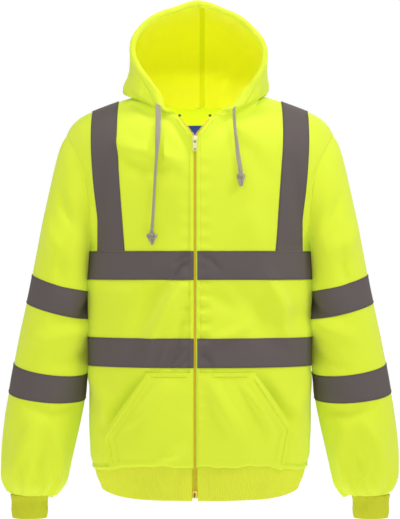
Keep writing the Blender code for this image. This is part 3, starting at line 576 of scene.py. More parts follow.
def refine(node: str, levels: int, close: PlaceMap | None = None,
           soft: Callable[[Vector], bool] | None = None) -> Shape:
    """Copy a solid's mesh, join its triangles to quads and subdivide it with crisp cloth edges.

    Args:
        node: The CAD node.
        levels: Levels of subdivision.
        close: Moves the points at seams so that neighbours meet, before the subdivision.
        soft: Whether an edge with its middle at a place rolls over softly instead.

    Returns:
        The fine mesh, in the garment's own frame.
    """
    body = bmesh.new()
    body.from_mesh(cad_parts[node].data)
    bmesh.ops.remove_doubles(body, verts=body.verts, dist=1e-5)
    bmesh.ops.join_triangles(body, faces=body.faces, angle_face_threshold=FLAT_ANGLE,
                             angle_shape_threshold=SQUARE_ANGLE)
    crease = body.edges.layers.float.new("crease_edge")
    for edge in body.edges:
        if len(edge.link_faces) == 2 and edge.calc_face_angle() > CUT_ANGLE:
            rolls = soft is not None and soft((edge.verts[0].co + edge.verts[1].co) / 2)
            edge[crease] = 0.0 if rolls else 1.0
    rough = bpy.data.meshes.new("rough")
    body.to_mesh(rough)
    body.free()
    if close:
        put_points(rough, close(points_of(rough)))
    carrier = new_object("carrier", rough)
    finer = carrier.modifiers.new("finer", "SUBSURF")
    finer.levels = levels
    finer.render_levels = levels
    graph = bpy.context.evaluated_depsgraph_get()
    mesh = bpy.data.meshes.new_from_object(carrier.evaluated_get(graph))
    bpy.data.objects.remove(carrier)
    return mesh


def displace(mesh: Shape, out: PlaceMap, relief: PlaceMap) -> None:
    """Move a shell's skins out together by a relief.

    Args:
        mesh: The shell's mesh.
        out: Directions out of the wall.
        relief: Metres outwards.
    """
    points = points_of(mesh)
    put_points(mesh, points + out(points) * relief(points)[:, None])


def dropped(host: BVHTree, place: Spot, way: Spot, reach: float = NEAR) -> Vector | None:
    """Where the line through a place, straight out of the cloth, meets the cloth.

    Args:
        host: Search tree of the cloth.
        place: The place, near the cloth.
        way: Direction out of the cloth.
        reach: How far outside and inside the place it looks.

    Returns:
        The meeting place, or none.
    """
    return host.ray_cast(Vector(place + way * reach), Vector(-way), 2 * reach)[0]


def lay_on(mesh: Shape, host: BVHTree, out: PlaceMap, low: float, high: float) -> None:
    """Lay a thin band on its host: its under skin at one lift and its upper skin at another.

    Args:
        mesh: The band's mesh, changed in place.
        host: Search tree of what it lies on.
        out: Directions out of the host.
        low: Lift of the under skin in metres.
        high: Lift of the upper skin in metres.
    """
    points = points_of(mesh)
    ways = out(points)
    normals = np.array([vertex.normal for vertex in mesh.vertices])
    shares = np.clip(0.5 + 0.9 * np.einsum("ij,ij->i", normals, ways), 0.0, 1.0)
    for index, (point, way, share) in enumerate(zip(points, ways, shares)):
        hit = dropped(host, point, way, 0.03)
        if hit is not None:
            points[index] = np.array(hit) + way * (low + (high - low) * share)
    put_points(mesh, points)


def dress(node: Piece, finish: Finish) -> None:
    """Put a finish in the place of a piece's own material."""
    node.data.materials.clear()
    node.data.materials.append(finish.material())


def add_piece(name: str, mesh: Shape, finish: Finish, node: str | None = None,
              body: str = "garment", smooth: bool = True) -> Piece:
    """Link a mesh as one piece, give it its finish and let it move with its body.

    Args:
        name: The piece's name.
        mesh: Its mesh, in the garment's frame.
        finish: The finish it wears.
        node: The CAD node it stands for.
        body: The CAD body it moves with.
        smooth: Whether its shading is smooth.

    Returns:
        The piece.
    """
    piece = new_object(name, mesh)
    mesh.name = name
    dress(piece, finish)
    if smooth:
        mesh.shade_smooth()
        mesh.set_sharp_from_angle(angle=SMOOTH_ANGLE)
    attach(piece, body)
    if node:
        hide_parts(node)
    LOG.info("%s: %d faces", name, len(mesh.polygons))
    return piece


def surface_of(pieces: Iterable[Piece | Shape]) -> BVHTree:
    """Search tree over the faces of several pieces.

    Args:
        pieces: Pieces or meshes in the garment's frame.

    Returns:
        The tree.
    """
    points: list[Vector] = []
    faces: Faces = []
    for piece in pieces:
        mesh = piece.data if isinstance(piece, Piece) else piece
        start = len(points)
        points += [vertex.co.copy() for vertex in mesh.vertices]
        faces += [tuple(start + index for index in face.vertices) for face in mesh.polygons]
    return BVHTree.FromPolygons(points, faces)


def mesh_from(name: str, points: Path, faces: Faces) -> Shape:
    """Make a mesh from points and faces.

    Args:
        name: The mesh's name.
        points: Its points.
        faces: Indices of each face's points.

    Returns:
        The mesh.
    """
    mesh = bpy.data.meshes.new(name)
    mesh.from_pydata([tuple(point) for point in points], [], [tuple(face) for face in faces])
    mesh.validate()
    return mesh


def ribbon(path: Sequence[Vector], sides: Sequence[Vector] | Vector,
           outline: Outline) -> tuple[list[Vector], Faces]:
    """Sweep a closed outline along a path, with both ends closed.

    Args:
        path: Places along the middle.
        sides: Direction across at each place, or one for all.
        outline: Points (across, out) of the section at a share of the way.

    Returns:
        Points and faces.
    """
    points: list[Vector] = []
    faces: Faces = []
    last = len(path) - 1
    count = len(outline(0.0))
    if isinstance(sides, Vector):
        sides = [sides] * len(path)
    for index, (place, across) in enumerate(zip(path, sides)):
        along = (path[min(index + 1, last)] - path[max(index - 1, 0)]).normalized()
        across = square_to(across, along)
        out = across.cross(along).normalized()
        for a, b in outline(index / last):
            points.append(place + across * a + out * b)
    for index in range(last):
        start = index * count
        for k in range(count):
            n = (k + 1) % count
            faces.append((start + k, start + n, start + count + n, start + count + k))
    faces.append(tuple(range(count - 1, -1, -1)))
    faces.append(tuple(last * count + k for k in range(count)))
    return points, faces


def add_ribbon(name: str, path: Sequence[Vector], sides: Sequence[Vector] | Vector, outline: Outline,
               finish: Finish, node: str | None = None,
               body: str = "garment") -> Piece:
    """Add one piece that is an outline swept along a path.

    Args:
        name: The piece's name.
        path: Places along the middle.
        sides: Direction across at each place, or one for all.
        outline: Points (across, out) of the section at a share of the way.
        finish: The finish it wears.
        node: The CAD node it stands for.
        body: The CAD body it moves with.

    Returns:
        The piece.
    """
    points, faces = ribbon(path, sides, outline)
    return add_piece(name, mesh_from(name, points, faces), finish, node, body)


def square_to(across: Vector, along: Vector) -> Vector:
    """Unit direction nearest to one direction and square to a second, which has length 1."""
    return (across - along * across.dot(along)).normalized()


def oval(half_width: float, half_thick: float, count: int = 12, power: float = 2.5) -> list[Pair]:
    """Rounded flat outline.

    Args:
        half_width: Half its width.
        half_thick: Half its thickness.
        count: Number of points.
        power: How square it is, 2 for an ellipse.

    Returns:
        Points across and out.
    """
    found = []
    for step in range(count):
        turn = 2 * math.pi * step / count
        across, out = powered(math.cos(turn), power), powered(math.sin(turn), power)
        found.append((half_width * across, half_thick * out))
    return found


def powered(value: float, power: float) -> float:
    """Cosine or sine of an angle, turned into that of a squarer round."""
    return math.copysign(abs(value) ** (2 / power), value)


def pressed(places: Sequence[Vector], host: BVHTree) -> list[Vector]:
    """Move places straight back or forward onto the front or back of the cloth.

    Args:
        places: The places; y tells the front (negative) from the back.
        host: Search tree of the cloth.

    Returns:
        Places on the cloth, those that miss it left as they are.
    """
    found = []
    for place in places:
        side = -1.0 if place.y < 0.0 else 1.0
        start = Vector((place.x, side * OUTSIDE, place.z))
        hit = host.ray_cast(start, Vector((0.0, -side, 0.0)), 0.5)[0]
        found.append(hit if hit is not None and hit.y * side > 0.0 else place)
    return found


def add_strip(mesh: Shape, path: Path, width: float, thick: float, press: bool = True) -> None:
    """Raise a soft ridge on a body panel along a line, as a turned-in edge or seam allowance shows through.

    Args:
        mesh: The panel's mesh, which takes the ridge in.
        path: Places the ridge's middle runs through, near the cloth.
        width: Width of the ridge.
        thick: Its height.
        press: Whether the line is first moved straight back onto the cloth.
    """
    host = surface_of([mesh])
    places = even_path(path, STRIP_STEP)
    if press:
        places = pressed(places, host)
    last = len(places) - 1
    body = bmesh.new()
    body.from_mesh(mesh)
    rows: list[list[bmesh.types.BMVert] | None] = []
    for index, (place, way) in enumerate(zip(places, torso_out(np.array(places)))):
        way = Vector(way)
        along = (places[min(index + 1, last)] - places[max(index - 1, 0)]).normalized()
        across = along.cross(way).normalized()
        row = []
        for share, lift in STRIP_PROFILE:
            start = place + across * (share * width) + way * NEAR
            hit = host.ray_cast(start, -way, 2 * NEAR)[0]
            if hit is None:
                hit = host.find_nearest(start - way * NEAR, 0.03)[0]
            if hit is not None:
                row.append(hit + way * (lift * thick))
        rows.append([body.verts.new(spot) for spot in row] if len(row) == len(STRIP_PROFILE) else None)
    count = len(STRIP_PROFILE)
    for index, (first, second) in enumerate(zip(rows, rows[1:])):
        if first and second:
            for k in range(count):
                n = (k + 1) % count
                body.faces.new((first[k], first[n], second[n], second[k])).smooth = True
            if index == 0 or not rows[index - 1]:
                body.faces.new(tuple(reversed(first)))
            if index == len(rows) - 2 or not rows[index + 2]:
                body.faces.new(tuple(second))
    body.to_mesh(mesh)
    body.free()


def set_metres(mesh: Shape, chart: PlaceMap) -> None:
    """Give a mesh a UV map in metres along the cloth.

    Args:
        mesh: The mesh.
        chart: Metres across and along the cloth at many places.
    """
    spots = chart(points_of(mesh))
    layer = mesh.uv_layers.new(name="cloth")
    corners = np.empty(len(mesh.loops), dtype=np.int32)
    mesh.loops.foreach_get("vertex_index", corners)
    layer.data.foreach_set("uv", spots[corners].ravel())


def flat_chart(points: Numbers) -> Numbers:
    """Cloth chart of a flat strip that faces the front: x and height."""
    return points[:, [0, 2]]


def round_chart(points: Numbers) -> Numbers:
    """Cloth chart of a nearly upright tube: metres round it, and height."""
    turn = np.arctan2(points[:, 1], np.abs(points[:, 0]))
    return np.stack([turn * TUBE_RADIUS, points[:, 2]], axis=1)


@dataclass
class Seamstress:
    """Lays rows of stitches on the finished cloth and gathers them into one piece for each region."""

    length: float = 0.0026
    gap: float = 0.0008
    thick: float = 0.00028
    lift: float = 0.00012
    points: list[Vector] = field(default_factory=list)
    faces: Faces = field(default_factory=list)

    def row(self, path: Path, host: BVHTree, out: PlaceMap, press: bool = True) -> None:
        """Sew one row of stitches along a line, pressed onto the cloth.

        Args:
            path: Places the line runs through, near the cloth.
            host: Search tree of the cloth.
            out: Directions out of the cloth.
            press: Whether the line is first moved straight back onto the cloth.
        """
        pitch = (self.length + self.gap) / 2
        places = even_path(path, pitch)
        if press:
            places = pressed(places, host)
        ways = [Vector(way) for way in out(np.array(places))]
        laid: list[Vector | None] = []
        for place, way in zip(places, ways):
            hit = dropped(host, place, way)
            laid.append(None if hit is None else hit + way * self.lift)
        for index in range(0, len(laid) - 2, 2):
            start, middle, after = laid[index:index + 3]
            if start is None or middle is None or after is None or (after - start).length > 3 * pitch:
                continue
            self.stitch(start, start.lerp(after, self.length / (self.length + self.gap)), ways[index])

    def stitch(self, start: Vector, end: Vector, out: Vector) -> None:
        """One raised stitch between two places.

        Args:
            start: Where the thread comes up.
            end: Where it goes down.
            out: Direction out of the cloth.
        """
        along = (end - start).normalized()
        across = along.cross(out).normalized() * self.thick
        middle = start.lerp(end, 0.5) + out * self.thick * 1.5
        base = len(self.points)
        sink = out * self.thick
        for place, wide in ((start - sink, 0.5), (middle, 1.0), (end - sink, 0.5)):
            self.points += [place - across * wide, place + out * self.thick * wide, place + across * wide]
        for step in (0, 3):
            for k in (0, 1):
                corner = base + step + k
                self.faces.append((corner, corner + 1, corner + 4, corner + 3))

    def finish(self, name: str, slot: str = "fleece", thread: ClothFinish = THREAD) -> None:
        """Gather the rows sewn so far into one piece.

        Args:
            name: The piece's name.
            slot: Not used.
            thread: The thread's finish.
        """
        add_piece(name, mesh_from(name, self.points, self.faces), thread)
        self.points, self.faces = [], []


# Body


FOLD_DEPTH = 2.2
TORSO_HALF = 0.20
TORSO_DEEP = 0.12
CHEST_TAPE_Z = -0.272
WAIST_TAPE_Z = -0.438
HALF_TAPE = 0.031
HEM_HANG = 0.0125
PUCKER_LENGTH = 0.0245
PUCKER_RIGHT = 0.0006
PUCKER_LEFT = 0.0012
# Where a height or a move starts, and where it is full
OFF_SIDE_SEAM = (-0.0005, 0.035)
OFF_ZIP = (0.0035, 0.016)
BELOW_NECK = (0.022, -0.002)
ABOVE_HEM = (-0.6195, -0.600)
HEM_SWAY = (-0.580, -0.6175)
HEM_TUCK = (-0.597, -0.6175)
HEM_SIDES = (0.115, 0.178)
BESIDE_ZIP = (0.0045, 0.011)
NEAR_ZIP = (0.034, 0.014)
LIVELY_TOP = (-0.22, -0.31)
LIVELY_FOOT = (-0.48, -0.40)
BELOW_V = (-0.07, -0.10)
POCKET_FOOT = (-0.617, -0.595)
POCKET_TOP = (-0.455, -0.475)
POCKET_OFF_ZIP = (0.005, 0.02)
FRONT_CREASES = ridges(Crease, (1000, 1000), (
    ((-22, -300, -45, -330, -78, -385, -92, -440), 120, 64, 0.25),
    ((-60, -295, -85, -330, -110, -400), 180, -54), ((-20, -345, -36, -380, -52, -440), 100, -30),
    ((12, -312, 40, -332, 60, -345), 140, -38), ((115, -290, 142, -345, 150, -400), 120, 58, -0.2),
    ((55, -305, 95, -340, 118, -400), 200, -58), ((12, -400, 50, -392, 85, -372), 100, 26),
    ((-22, -408, -40, -426, -60, -450), 42, -15), ((-16, -424, -30, -438, -46, -456), 36, -14),
    ((-44, -402, -58, -418, -72, -440), 50, 14), ((-14, -262, -32, -272, -46, -296), 38, -22),
    ((-20, -250, -44, -268), 45, -18), ((2, -424, 14, -432, 22, -452), 56, -18),
    ((4, -255, 20, -262, 36, -280), 50, -16), ((-44, -30, -70, -16, -90, -4, -110, 8), 100, -36),
    ((26, -30, 52, -22, 80, -9, 106, 4), 120, -44), ((-52, -26, -36, -46, -23, -74), 70, -28),
    ((38, -26, 21, -46, 6, -74), 85, -34), ((-184, -215, -186, -330, -184, -460), 170, 36),
    ((184, -215, 186, -330, 184, -460), 170, 36), ((-140, -60, -110, -75, -70, -78, -30, -98), 120, 34),
    ((-130, -85, -95, -105, -50, -110), 150, -32), ((40, -40, 85, -75, 110, -120), 180, -24),
    ((-60, -140, -58, -200, -70, -245), 220, -26), ((80, -170, 100, -215, 96, -250), 260, 30),
    ((-165, -100, -172, -160, -180, -235), 120, -30), ((165, -100, 172, -165, 180, -235), 120, -30),
    ((-180, -300, -150, -320, -115, -312), 160, 26), ((185, -350, 160, -366, 120, -372), 160, -26),
    ((-190, -460, -165, -505, -158, -560), 120, 36), ((-101, -468, -134, -512, -166, -552), 110, -46),
    ((190, -470, 170, -520, 168, -575), 130, 34), ((104, -466, 132, -505, 160, -545), 100, -44),
))
BACK_CREASES = ridges(Crease, (1000, 1000), (
    ((-165, -150, -110, -205, -40, -235), 170, 52, 0.2), ((160, -140, 115, -200, 50, -240), 180, 46, -0.2),
    ((-150, -195, -95, -245, -30, -262), 140, -40), ((150, -190, 100, -240), 140, -36),
    ((-10, -85, -4, -120, -12, -170), 200, -34), ((-100, -310, -50, -350, 20, -362, 80, -340), 160, 48, 0.3),
    ((140, -300, 90, -330, 60, -372), 150, -40), ((-150, -350, -110, -385), 140, -34),
    ((-160, -460, -110, -500, -80, -560, -85, -600), 180, 58, -0.2),
    ((165, -455, 120, -495, 85, -560), 190, 54, 0.2), ((-30, -455, -20, -530, -40, -600), 200, -46),
    ((50, -470, 35, -540, 45, -600), 160, 40), ((-140, -540, -150, -600), 140, -36),
    ((145, -535, 140, -605), 150, -40),
))
POCKET_CREASES = ridges(Crease, (1000, 1000), (
    ((-26, -582, -46, -596, -74, -612), 80, 34, 0.2), ((-60, -520, -92, -556, -150, -606), 170, -32),
    ((-60, -480, -88, -515, -126, -548), 120, 20), ((18, -474, 36, -515, 62, -560), 120, 34, -0.2),
    ((46, -474, 82, -520, 104, -560), 110, -30), ((75, -482, 105, -520, 122, -560), 100, 28),
    ((2, -570, 26, -588, 64, -606), 110, -22),
))


def torso_out(points: Numbers) -> Numbers:
    """Directions straight out of the body's wall.

    Args:
        points: Places on or near it.

    Returns:
        Unit vectors as rows.
    """
    x, y, z = points.T
    lean = np.maximum(0.0, 1.0 - (SHOULDER_TOP - z) / SHOULDER_ROUND)
    across = np.sign(x) * np.abs(x / TORSO_HALF) ** 1.4 / TORSO_HALF
    ahead = np.sign(y) * np.abs(y / TORSO_DEEP) ** 1.4 / TORSO_DEEP
    return unit(np.stack([across * (1.0 - 0.6 * lean), ahead, 9.0 * lean ** 3], axis=1))


def zip_pucker(points: Numbers) -> Numbers:
    """Small waves of the cloth beside the zip, where the stitching draws it in.

    Args:
        points: Places on the cloth.

    Returns:
        Metres outwards.
    """
    x, _, z = points.T
    off = np.abs(x - ZIP_X)
    depth = np.where(x > ZIP_X, PUCKER_LEFT, PUCKER_RIGHT)
    lively = smooth_step(*LIVELY_TOP, z) * smooth_step(*LIVELY_FOOT, z) + 0.35
    taped = mound(z, CHEST_TAPE_Z, HALF_TAPE, 4) + mound(z, WAIST_TAPE_Z, HALF_TAPE, 4)
    near = (1.0 - 0.7 * taped) * smooth_step(*BESIDE_ZIP, off) * smooth_step(*NEAR_ZIP, off)
    near = near * smooth_step(*BELOW_V, z)
    return depth * lively * near * np.sin(z * 2 * np.pi / PUCKER_LENGTH + 1.7 * np.sin(z * 23.0))


def body_relief(points: Numbers) -> Numbers:
    """Height of the body's creases, calm along zip, neck and armholes.

    Args:
        points: Places on the cloth.

    Returns:
        Metres outwards.
    """
    x, y, z = points.T
    ahead = sum(crease.at(x, z) for crease in FRONT_CREASES)
    behind = sum(crease.at(x, z) for crease in BACK_CREASES)
    calm = smooth_step(*OFF_SIDE_SEAM, np.abs(y)) * smooth_step(*BELOW_NECK, z) * smooth_step(*ABOVE_HEM, z)
    zip_calm = smooth_step(*OFF_ZIP, np.abs(x - ZIP_X))
    seam = -0.0007 * mound(y, 0.0, 0.0028)
    roll = 0.0020 * mound(z, -0.6115, 0.0042)
    waves = np.where(y < 0.0, ahead * zip_calm + zip_pucker(points), behind)
    total = waves * calm * FOLD_DEPTH + seam + roll
    return np.where(under_cord(points), np.minimum(total, 0.0002), total)


def under_cord(points: Numbers) -> Numbers:
    """Find the places under a drawcord, where no ridge may stand up.

    Args:
        points: Places on the body.

    Returns:
        Whether each place lies there.
    """
    x, y, z = points.T
    right = (np.abs(x + 0.0765) < 0.014) & (z > -0.238)
    left = (np.abs(x - 0.0650) < 0.013) & (z > -0.140)
    return (y < 0.0) & (right | left)


def hem_drop(x: Numbers) -> Numbers:
    """How far the body's cloth hangs down over the rib towards the sides, in metres."""
    return HEM_HANG * smooth_step(*HEM_SIDES, np.abs(x))


def hem_wave(x: Numbers) -> Numbers:
    """How the hem seam rises and falls along the band, in metres."""
    return 0.0013 * np.sin(x * 78.0 + 0.8) + 0.0008 * np.sin(x * 171.0)


def sink_hem(points: Numbers) -> Numbers:
    """Let the foot of the body rise and fall with the hem seam, and blouse over the rib at the sides.

    Args:
        points: Places on the body.

    Returns:
        The same places, moved.
    """
    drop = hem_drop(points[:, 0])
    near = smooth_step(*HEM_SWAY, points[:, 2])
    tuck = drop * smooth_step(*HEM_TUCK, points[:, 2])
    points += torso_out(points) * (0.16 * drop * near)[:, None]
    points[:, 0] -= np.sign(points[:, 0]) * 0.62 * tuck
    points[:, 2] += (hem_wave(points[:, 0]) - drop) * near
    return points


def zip_line(z: Numbers) -> Numbers:
    """How far the front's edge stands off the zip's middle, wider in the open V at the neck."""
    return ZIP_EDGE + V_SPREAD * np.clip((z - NECK_BASE) / V_HEIGHT, 0.0, 1.0)


def zip_draw(z: Numbers) -> Numbers:
    """How far the front's edge is drawn in over the zip's tape, less in the open V."""
    return 0.0027 - 0.0015 * smooth_step(NECK_BASE - 0.004, NECK_BASE + 0.012, z)


def close_zip(points: Numbers) -> Numbers:
    """Bring the fronts' edges in over the zip's tapes, so that only the teeth show.

    Args:
        points: Places on the fronts or the back.

    Returns:
        The same places, moved.
    """
    x, y, z = points.T
    off = np.abs(x - ZIP_X) - zip_line(z)
    near = (y < -0.05) & (z < 0.02)
    points[:, 0] -= np.where(near, np.sign(x - ZIP_X) * zip_draw(z) * mound(off, 0.0, 0.007), 0.0)
    return points


def close_body(points: Numbers) -> Numbers:
    """Bring fronts and back together at the side and shoulder seams."""
    points[np.abs(points[:, 1]) < 0.0004, 1] = 0.0
    return points


def zip_edge(side: Side, off: float) -> list[Triple]:
    """Line beside the zip from the hem seam to the neck.

    Args:
        side: The front it runs on.
        off: Distance from the front's edge.

    Returns:
        Places near the cloth.
    """
    found = []
    for z in (*np.linspace(-0.6165, NECK_BASE, 40), *np.linspace(NECK_BASE + 0.004, -0.0185, 8)):
        found.append((ZIP_X + side.value * float(zip_line(z) - zip_draw(z) + off), FRONT_Y, float(z)))
    return found


def line_inside(piece: Piece, out: PlaceMap, nap: ClothFinish = LINING) -> None:
    """Give the faces that look into the garment the brushed nap of the cloth's wrong side.

    Args:
        piece: A shell that wears its outer finish.
        out: Directions out of the wall.
        nap: The brushed inner side.
    """
    mesh = piece.data
    mesh.materials.append(nap.material())
    centres = np.array([face.center for face in mesh.polygons])
    normals = np.array([face.normal for face in mesh.polygons])
    inward = np.einsum("ij,ij->i", normals, out(centres)) < INWARD
    mesh.polygons.foreach_set("material_index", inward.astype(np.int32))


def pocket_relief(points: Numbers) -> Numbers:
    """Creases of the pockets, which never go into the front.

    Args:
        points: Places on the cloth.

    Returns:
        Metres outwards.
    """
    x, _, z = points.T
    total = sum(crease.at(x, z) for crease in POCKET_CREASES) * FOLD_DEPTH
    calm = smooth_step(*POCKET_FOOT, z) * smooth_step(*POCKET_TOP, z)
    calm *= smooth_step(*POCKET_OFF_ZIP, np.abs(x - ZIP_X))
    return np.maximum(-0.0006, total * calm) + np.maximum(0.0, body_relief(points))


@dataclass(frozen=True)
class PocketPlan:
    """Cut of one pocket half, and the corners (across, up) of its slanted opening."""

    cut: Triple
    corners: tuple[Pair, Pair, Pair]


@dataclass
class Torso:
    """Fronts, back, pockets and bands of the body."""

    levels: int = 3
    band_lift: Pair = (0.00005, 0.0013)
    band_reach: Pair = (0.0028, 0.0008)
    band_wide: float = 0.052
    hem_half: float = 0.189
    hem_deep: float = 0.112
    hem_high: float = -0.6120
    hem_turns: dict[Side | None, tuple[float, float, int]] = field(default_factory=lambda: {
        None: (3.0, 177.0, 60), Side.LEFT: (-86.0, -3.0, 36), Side.RIGHT: (-177.0, -93.5, 36)})
    pocket_top: float = -0.4590
    front_cut: dict[Side, Triple] = field(default_factory=lambda: {
        Side.RIGHT: (0.285, 0.715, 0.1524), Side.LEFT: (0.303, 0.715, 0.1632)})
    plans: dict[Side, PocketPlan] = field(default_factory=lambda: {
        Side.RIGHT: PocketPlan((0.164, 0.195, 0.0219),
                               ((0.0909, -0.4590), (0.1637, -0.5637), (0.1550, -0.6172))),
        Side.LEFT: PocketPlan((0.173, 0.189, 0.0243),
                              ((0.0934, -0.4574), (0.1560, -0.5510), (0.1440, -0.6172)))})
    panels: list[Piece] = field(default_factory=list)
    pockets: dict[Side, Piece] = field(default_factory=dict)
    bands: list[Piece] = field(default_factory=list)
    wall: BVHTree = field(init=False)

    def build(self) -> None:
        """Make the panels, then what lies on them."""
        for side in Side:
            self.panels.append(self.front(side))
        self.panels.append(self.back())
        self.wall = surface_of(self.panels)
        for side in Side:
            self.pockets[side] = self.pocket(side)
            self.band(f"shoulder_tape_{side.word}", 0.657)
        for level in ("chest", "waist"):
            for side, length in ((Side.RIGHT, 0.250), (Side.LEFT, 0.268)):
                self.band(f"{level}_tape_front_{side.word}", length)
            self.band(f"{level}_tape_back", 0.523)

    def shell(self, node: str, name: str, hem: Side | None) -> Piece:
        """Fine shell of one panel with its creases and its ridge over the hem seam.

        Args:
            node: The CAD node it stands for.
            name: The piece's name.
            hem: The front that it is, or none for the back.

        Returns:
            The panel.
        """
        mesh = refine(node, self.levels, close_body)
        displace(mesh, torso_out, body_relief)
        put_points(mesh, close_zip(sink_hem(points_of(mesh))))
        piece = add_piece(name, mesh, FLEECE, node)
        line_inside(piece, torso_out)
        if hem is not None:
            add_strip(mesh, zip_edge(hem, 0.0039), 0.0074, 0.0018)
        add_strip(mesh, self.hem_seam(hem), 0.0070, 0.0024, press=False)
        return piece

    def front(self, side: Side) -> Piece:
        """Front panel of one side.

        Args:
            side: The front.

        Returns:
            The panel.
        """
        piece = self.shell(f"front_{side.word}", f"front_panel_{side.word}", side)
        width, length, area = self.front_cut[side]
        return piece

    def back(self) -> Piece:
        """Back panel, in one piece."""
        piece = self.shell("back", "back_panel", None)
        return piece

    def band(self, node: str, length: float) -> None:
        """Reflective band laid on the panels.

        Args:
            node: The CAD node it stands for.
            length: Not used.
        """
        mesh = refine(node, self.levels, close_body)
        if "_front_" in node:
            put_points(mesh, self.reach_zip(points_of(mesh)))
        lay_on(mesh, self.wall, torso_out, *self.band_lift)
        set_metres(mesh, round_chart)
        piece = add_piece(f"{node}_band", mesh, TAPE, node)
        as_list(self.panels)
        self.bands.append(piece)

    def reach_zip(self, points: Numbers) -> Numbers:
        """Draw the end of a front band up to the teeth of the zip.

        Args:
            points: Points of the band.

        Returns:
            The moved points.
        """
        moved = points.copy()
        beside = moved[:, 0] - ZIP_X
        near = 1.0 - smooth_step(0.006, 0.028, np.abs(beside))
        moved[:, 0] -= near * np.where(beside < 0.0, -self.band_reach[0], self.band_reach[1])
        return moved

    def hem_seam(self, side: Side | None) -> list[Triple]:
        """Line where the rib is sewn on, round one front or the back.

        Args:
            side: The front, or none for the back.

        Returns:
            Places near the cloth.
        """
        first, last, count = self.hem_turns[side]
        found = []
        for turn in np.linspace(math.radians(first), math.radians(last), count):
            x = self.hem_half * powered(math.cos(turn), 2.6)
            y = self.hem_deep * powered(math.sin(turn), 2.6)
            sway = hem_wave(np.array([x]))[0] * 0.8 - hem_drop(np.array([x]))[0]
            found.append((x, y, self.hem_high + float(sway)))
        return found

    def opening(self, side: Side, inset: float) -> list[Triple]:
        """Line along the slanted opening of one pocket.

        Args:
            side: The pocket.
            inset: Distance inside its edge.

        Returns:
            Places near the cloth.
        """
        across, up = zip(*self.plans[side].corners)
        found = []
        for share in np.linspace(0.03, 0.97, 24):
            x, z = (np.interp(share, (0.0, 0.62, 1.0), numbers) for numbers in (across, up))
            slant = 1.0 - smooth_step(0.52, 0.74, share)
            x -= inset * (1.0 - 0.18 * slant)
            found.append((side.value * x, FRONT_Y, float(z - inset * 0.57 * slant)))
        return found

    def pocket(self, side: Side) -> Piece:
        """Half of the kangaroo pocket.

        Args:
            side: The half.

        Returns:
            The pocket.
        """
        node = f"pocket_{side.word}"
        mesh = refine(node, self.levels)
        displace(mesh, torso_out, pocket_relief)
        put_points(mesh, sink_hem(points_of(mesh)))
        piece = add_piece(f"pocket_panel_{side.word}", mesh, FLEECE, node)
        add_strip(mesh, self.opening(side, 0.0030), 0.0060, 0.0021)
        top = [(side.value * share, FRONT_Y, self.pocket_top) for share in np.linspace(0.024, 0.080, 10)]
        add_strip(mesh, top, 0.0054, 0.0014)
        width, length, area = self.plans[side].cut
        return piece


# Sleeves, cuffs and hem


SLEEVE_LINE = np.array((
    (-0.7000, 0.3015, 0.0320, 0.0310), (-0.6760, 0.2965, 0.0365, 0.0360), (-0.6590, 0.2955, 0.0525, 0.0530),
    (-0.6350, 0.2938, 0.0598, 0.0610), (-0.5960, 0.2883, 0.0643, 0.0650), (-0.5475, 0.2803, 0.0678, 0.0670),
    (-0.5005, 0.2715, 0.0670, 0.0680), (-0.4513, 0.2650, 0.0645, 0.0700), (-0.4020, 0.2585, 0.0600, 0.0720),
    (-0.3506, 0.2525, 0.0545, 0.0730), (-0.3019, 0.2474, 0.0496, 0.0750), (-0.2708, 0.2432, 0.0454, 0.0765),
    (-0.2388, 0.2386, 0.0430, 0.0780), (-0.2085, 0.2334, 0.0410, 0.0790), (-0.1500, 0.2300, 0.0400, 0.0790),
    (-0.0560, 0.2200, 0.0380, 0.0780),
))
SLEEVE_DEGREE = 0.0013
SLEEVE_SWELLS = (
    (180.0, 34.0, (-0.485, -0.440), (-0.228, -0.262)),
    (128.0, 29.0, (-0.50, -0.42), (-0.17, -0.24)),
    (180.0, 48.0, (-0.668, -0.640), (-0.44, -0.50)),
)
SWELL_INNER = 0.0044
SWELL_FORE = 0.0118
SWELL_LOW = 0.0028
GATHER_DEPTH = 0.0048
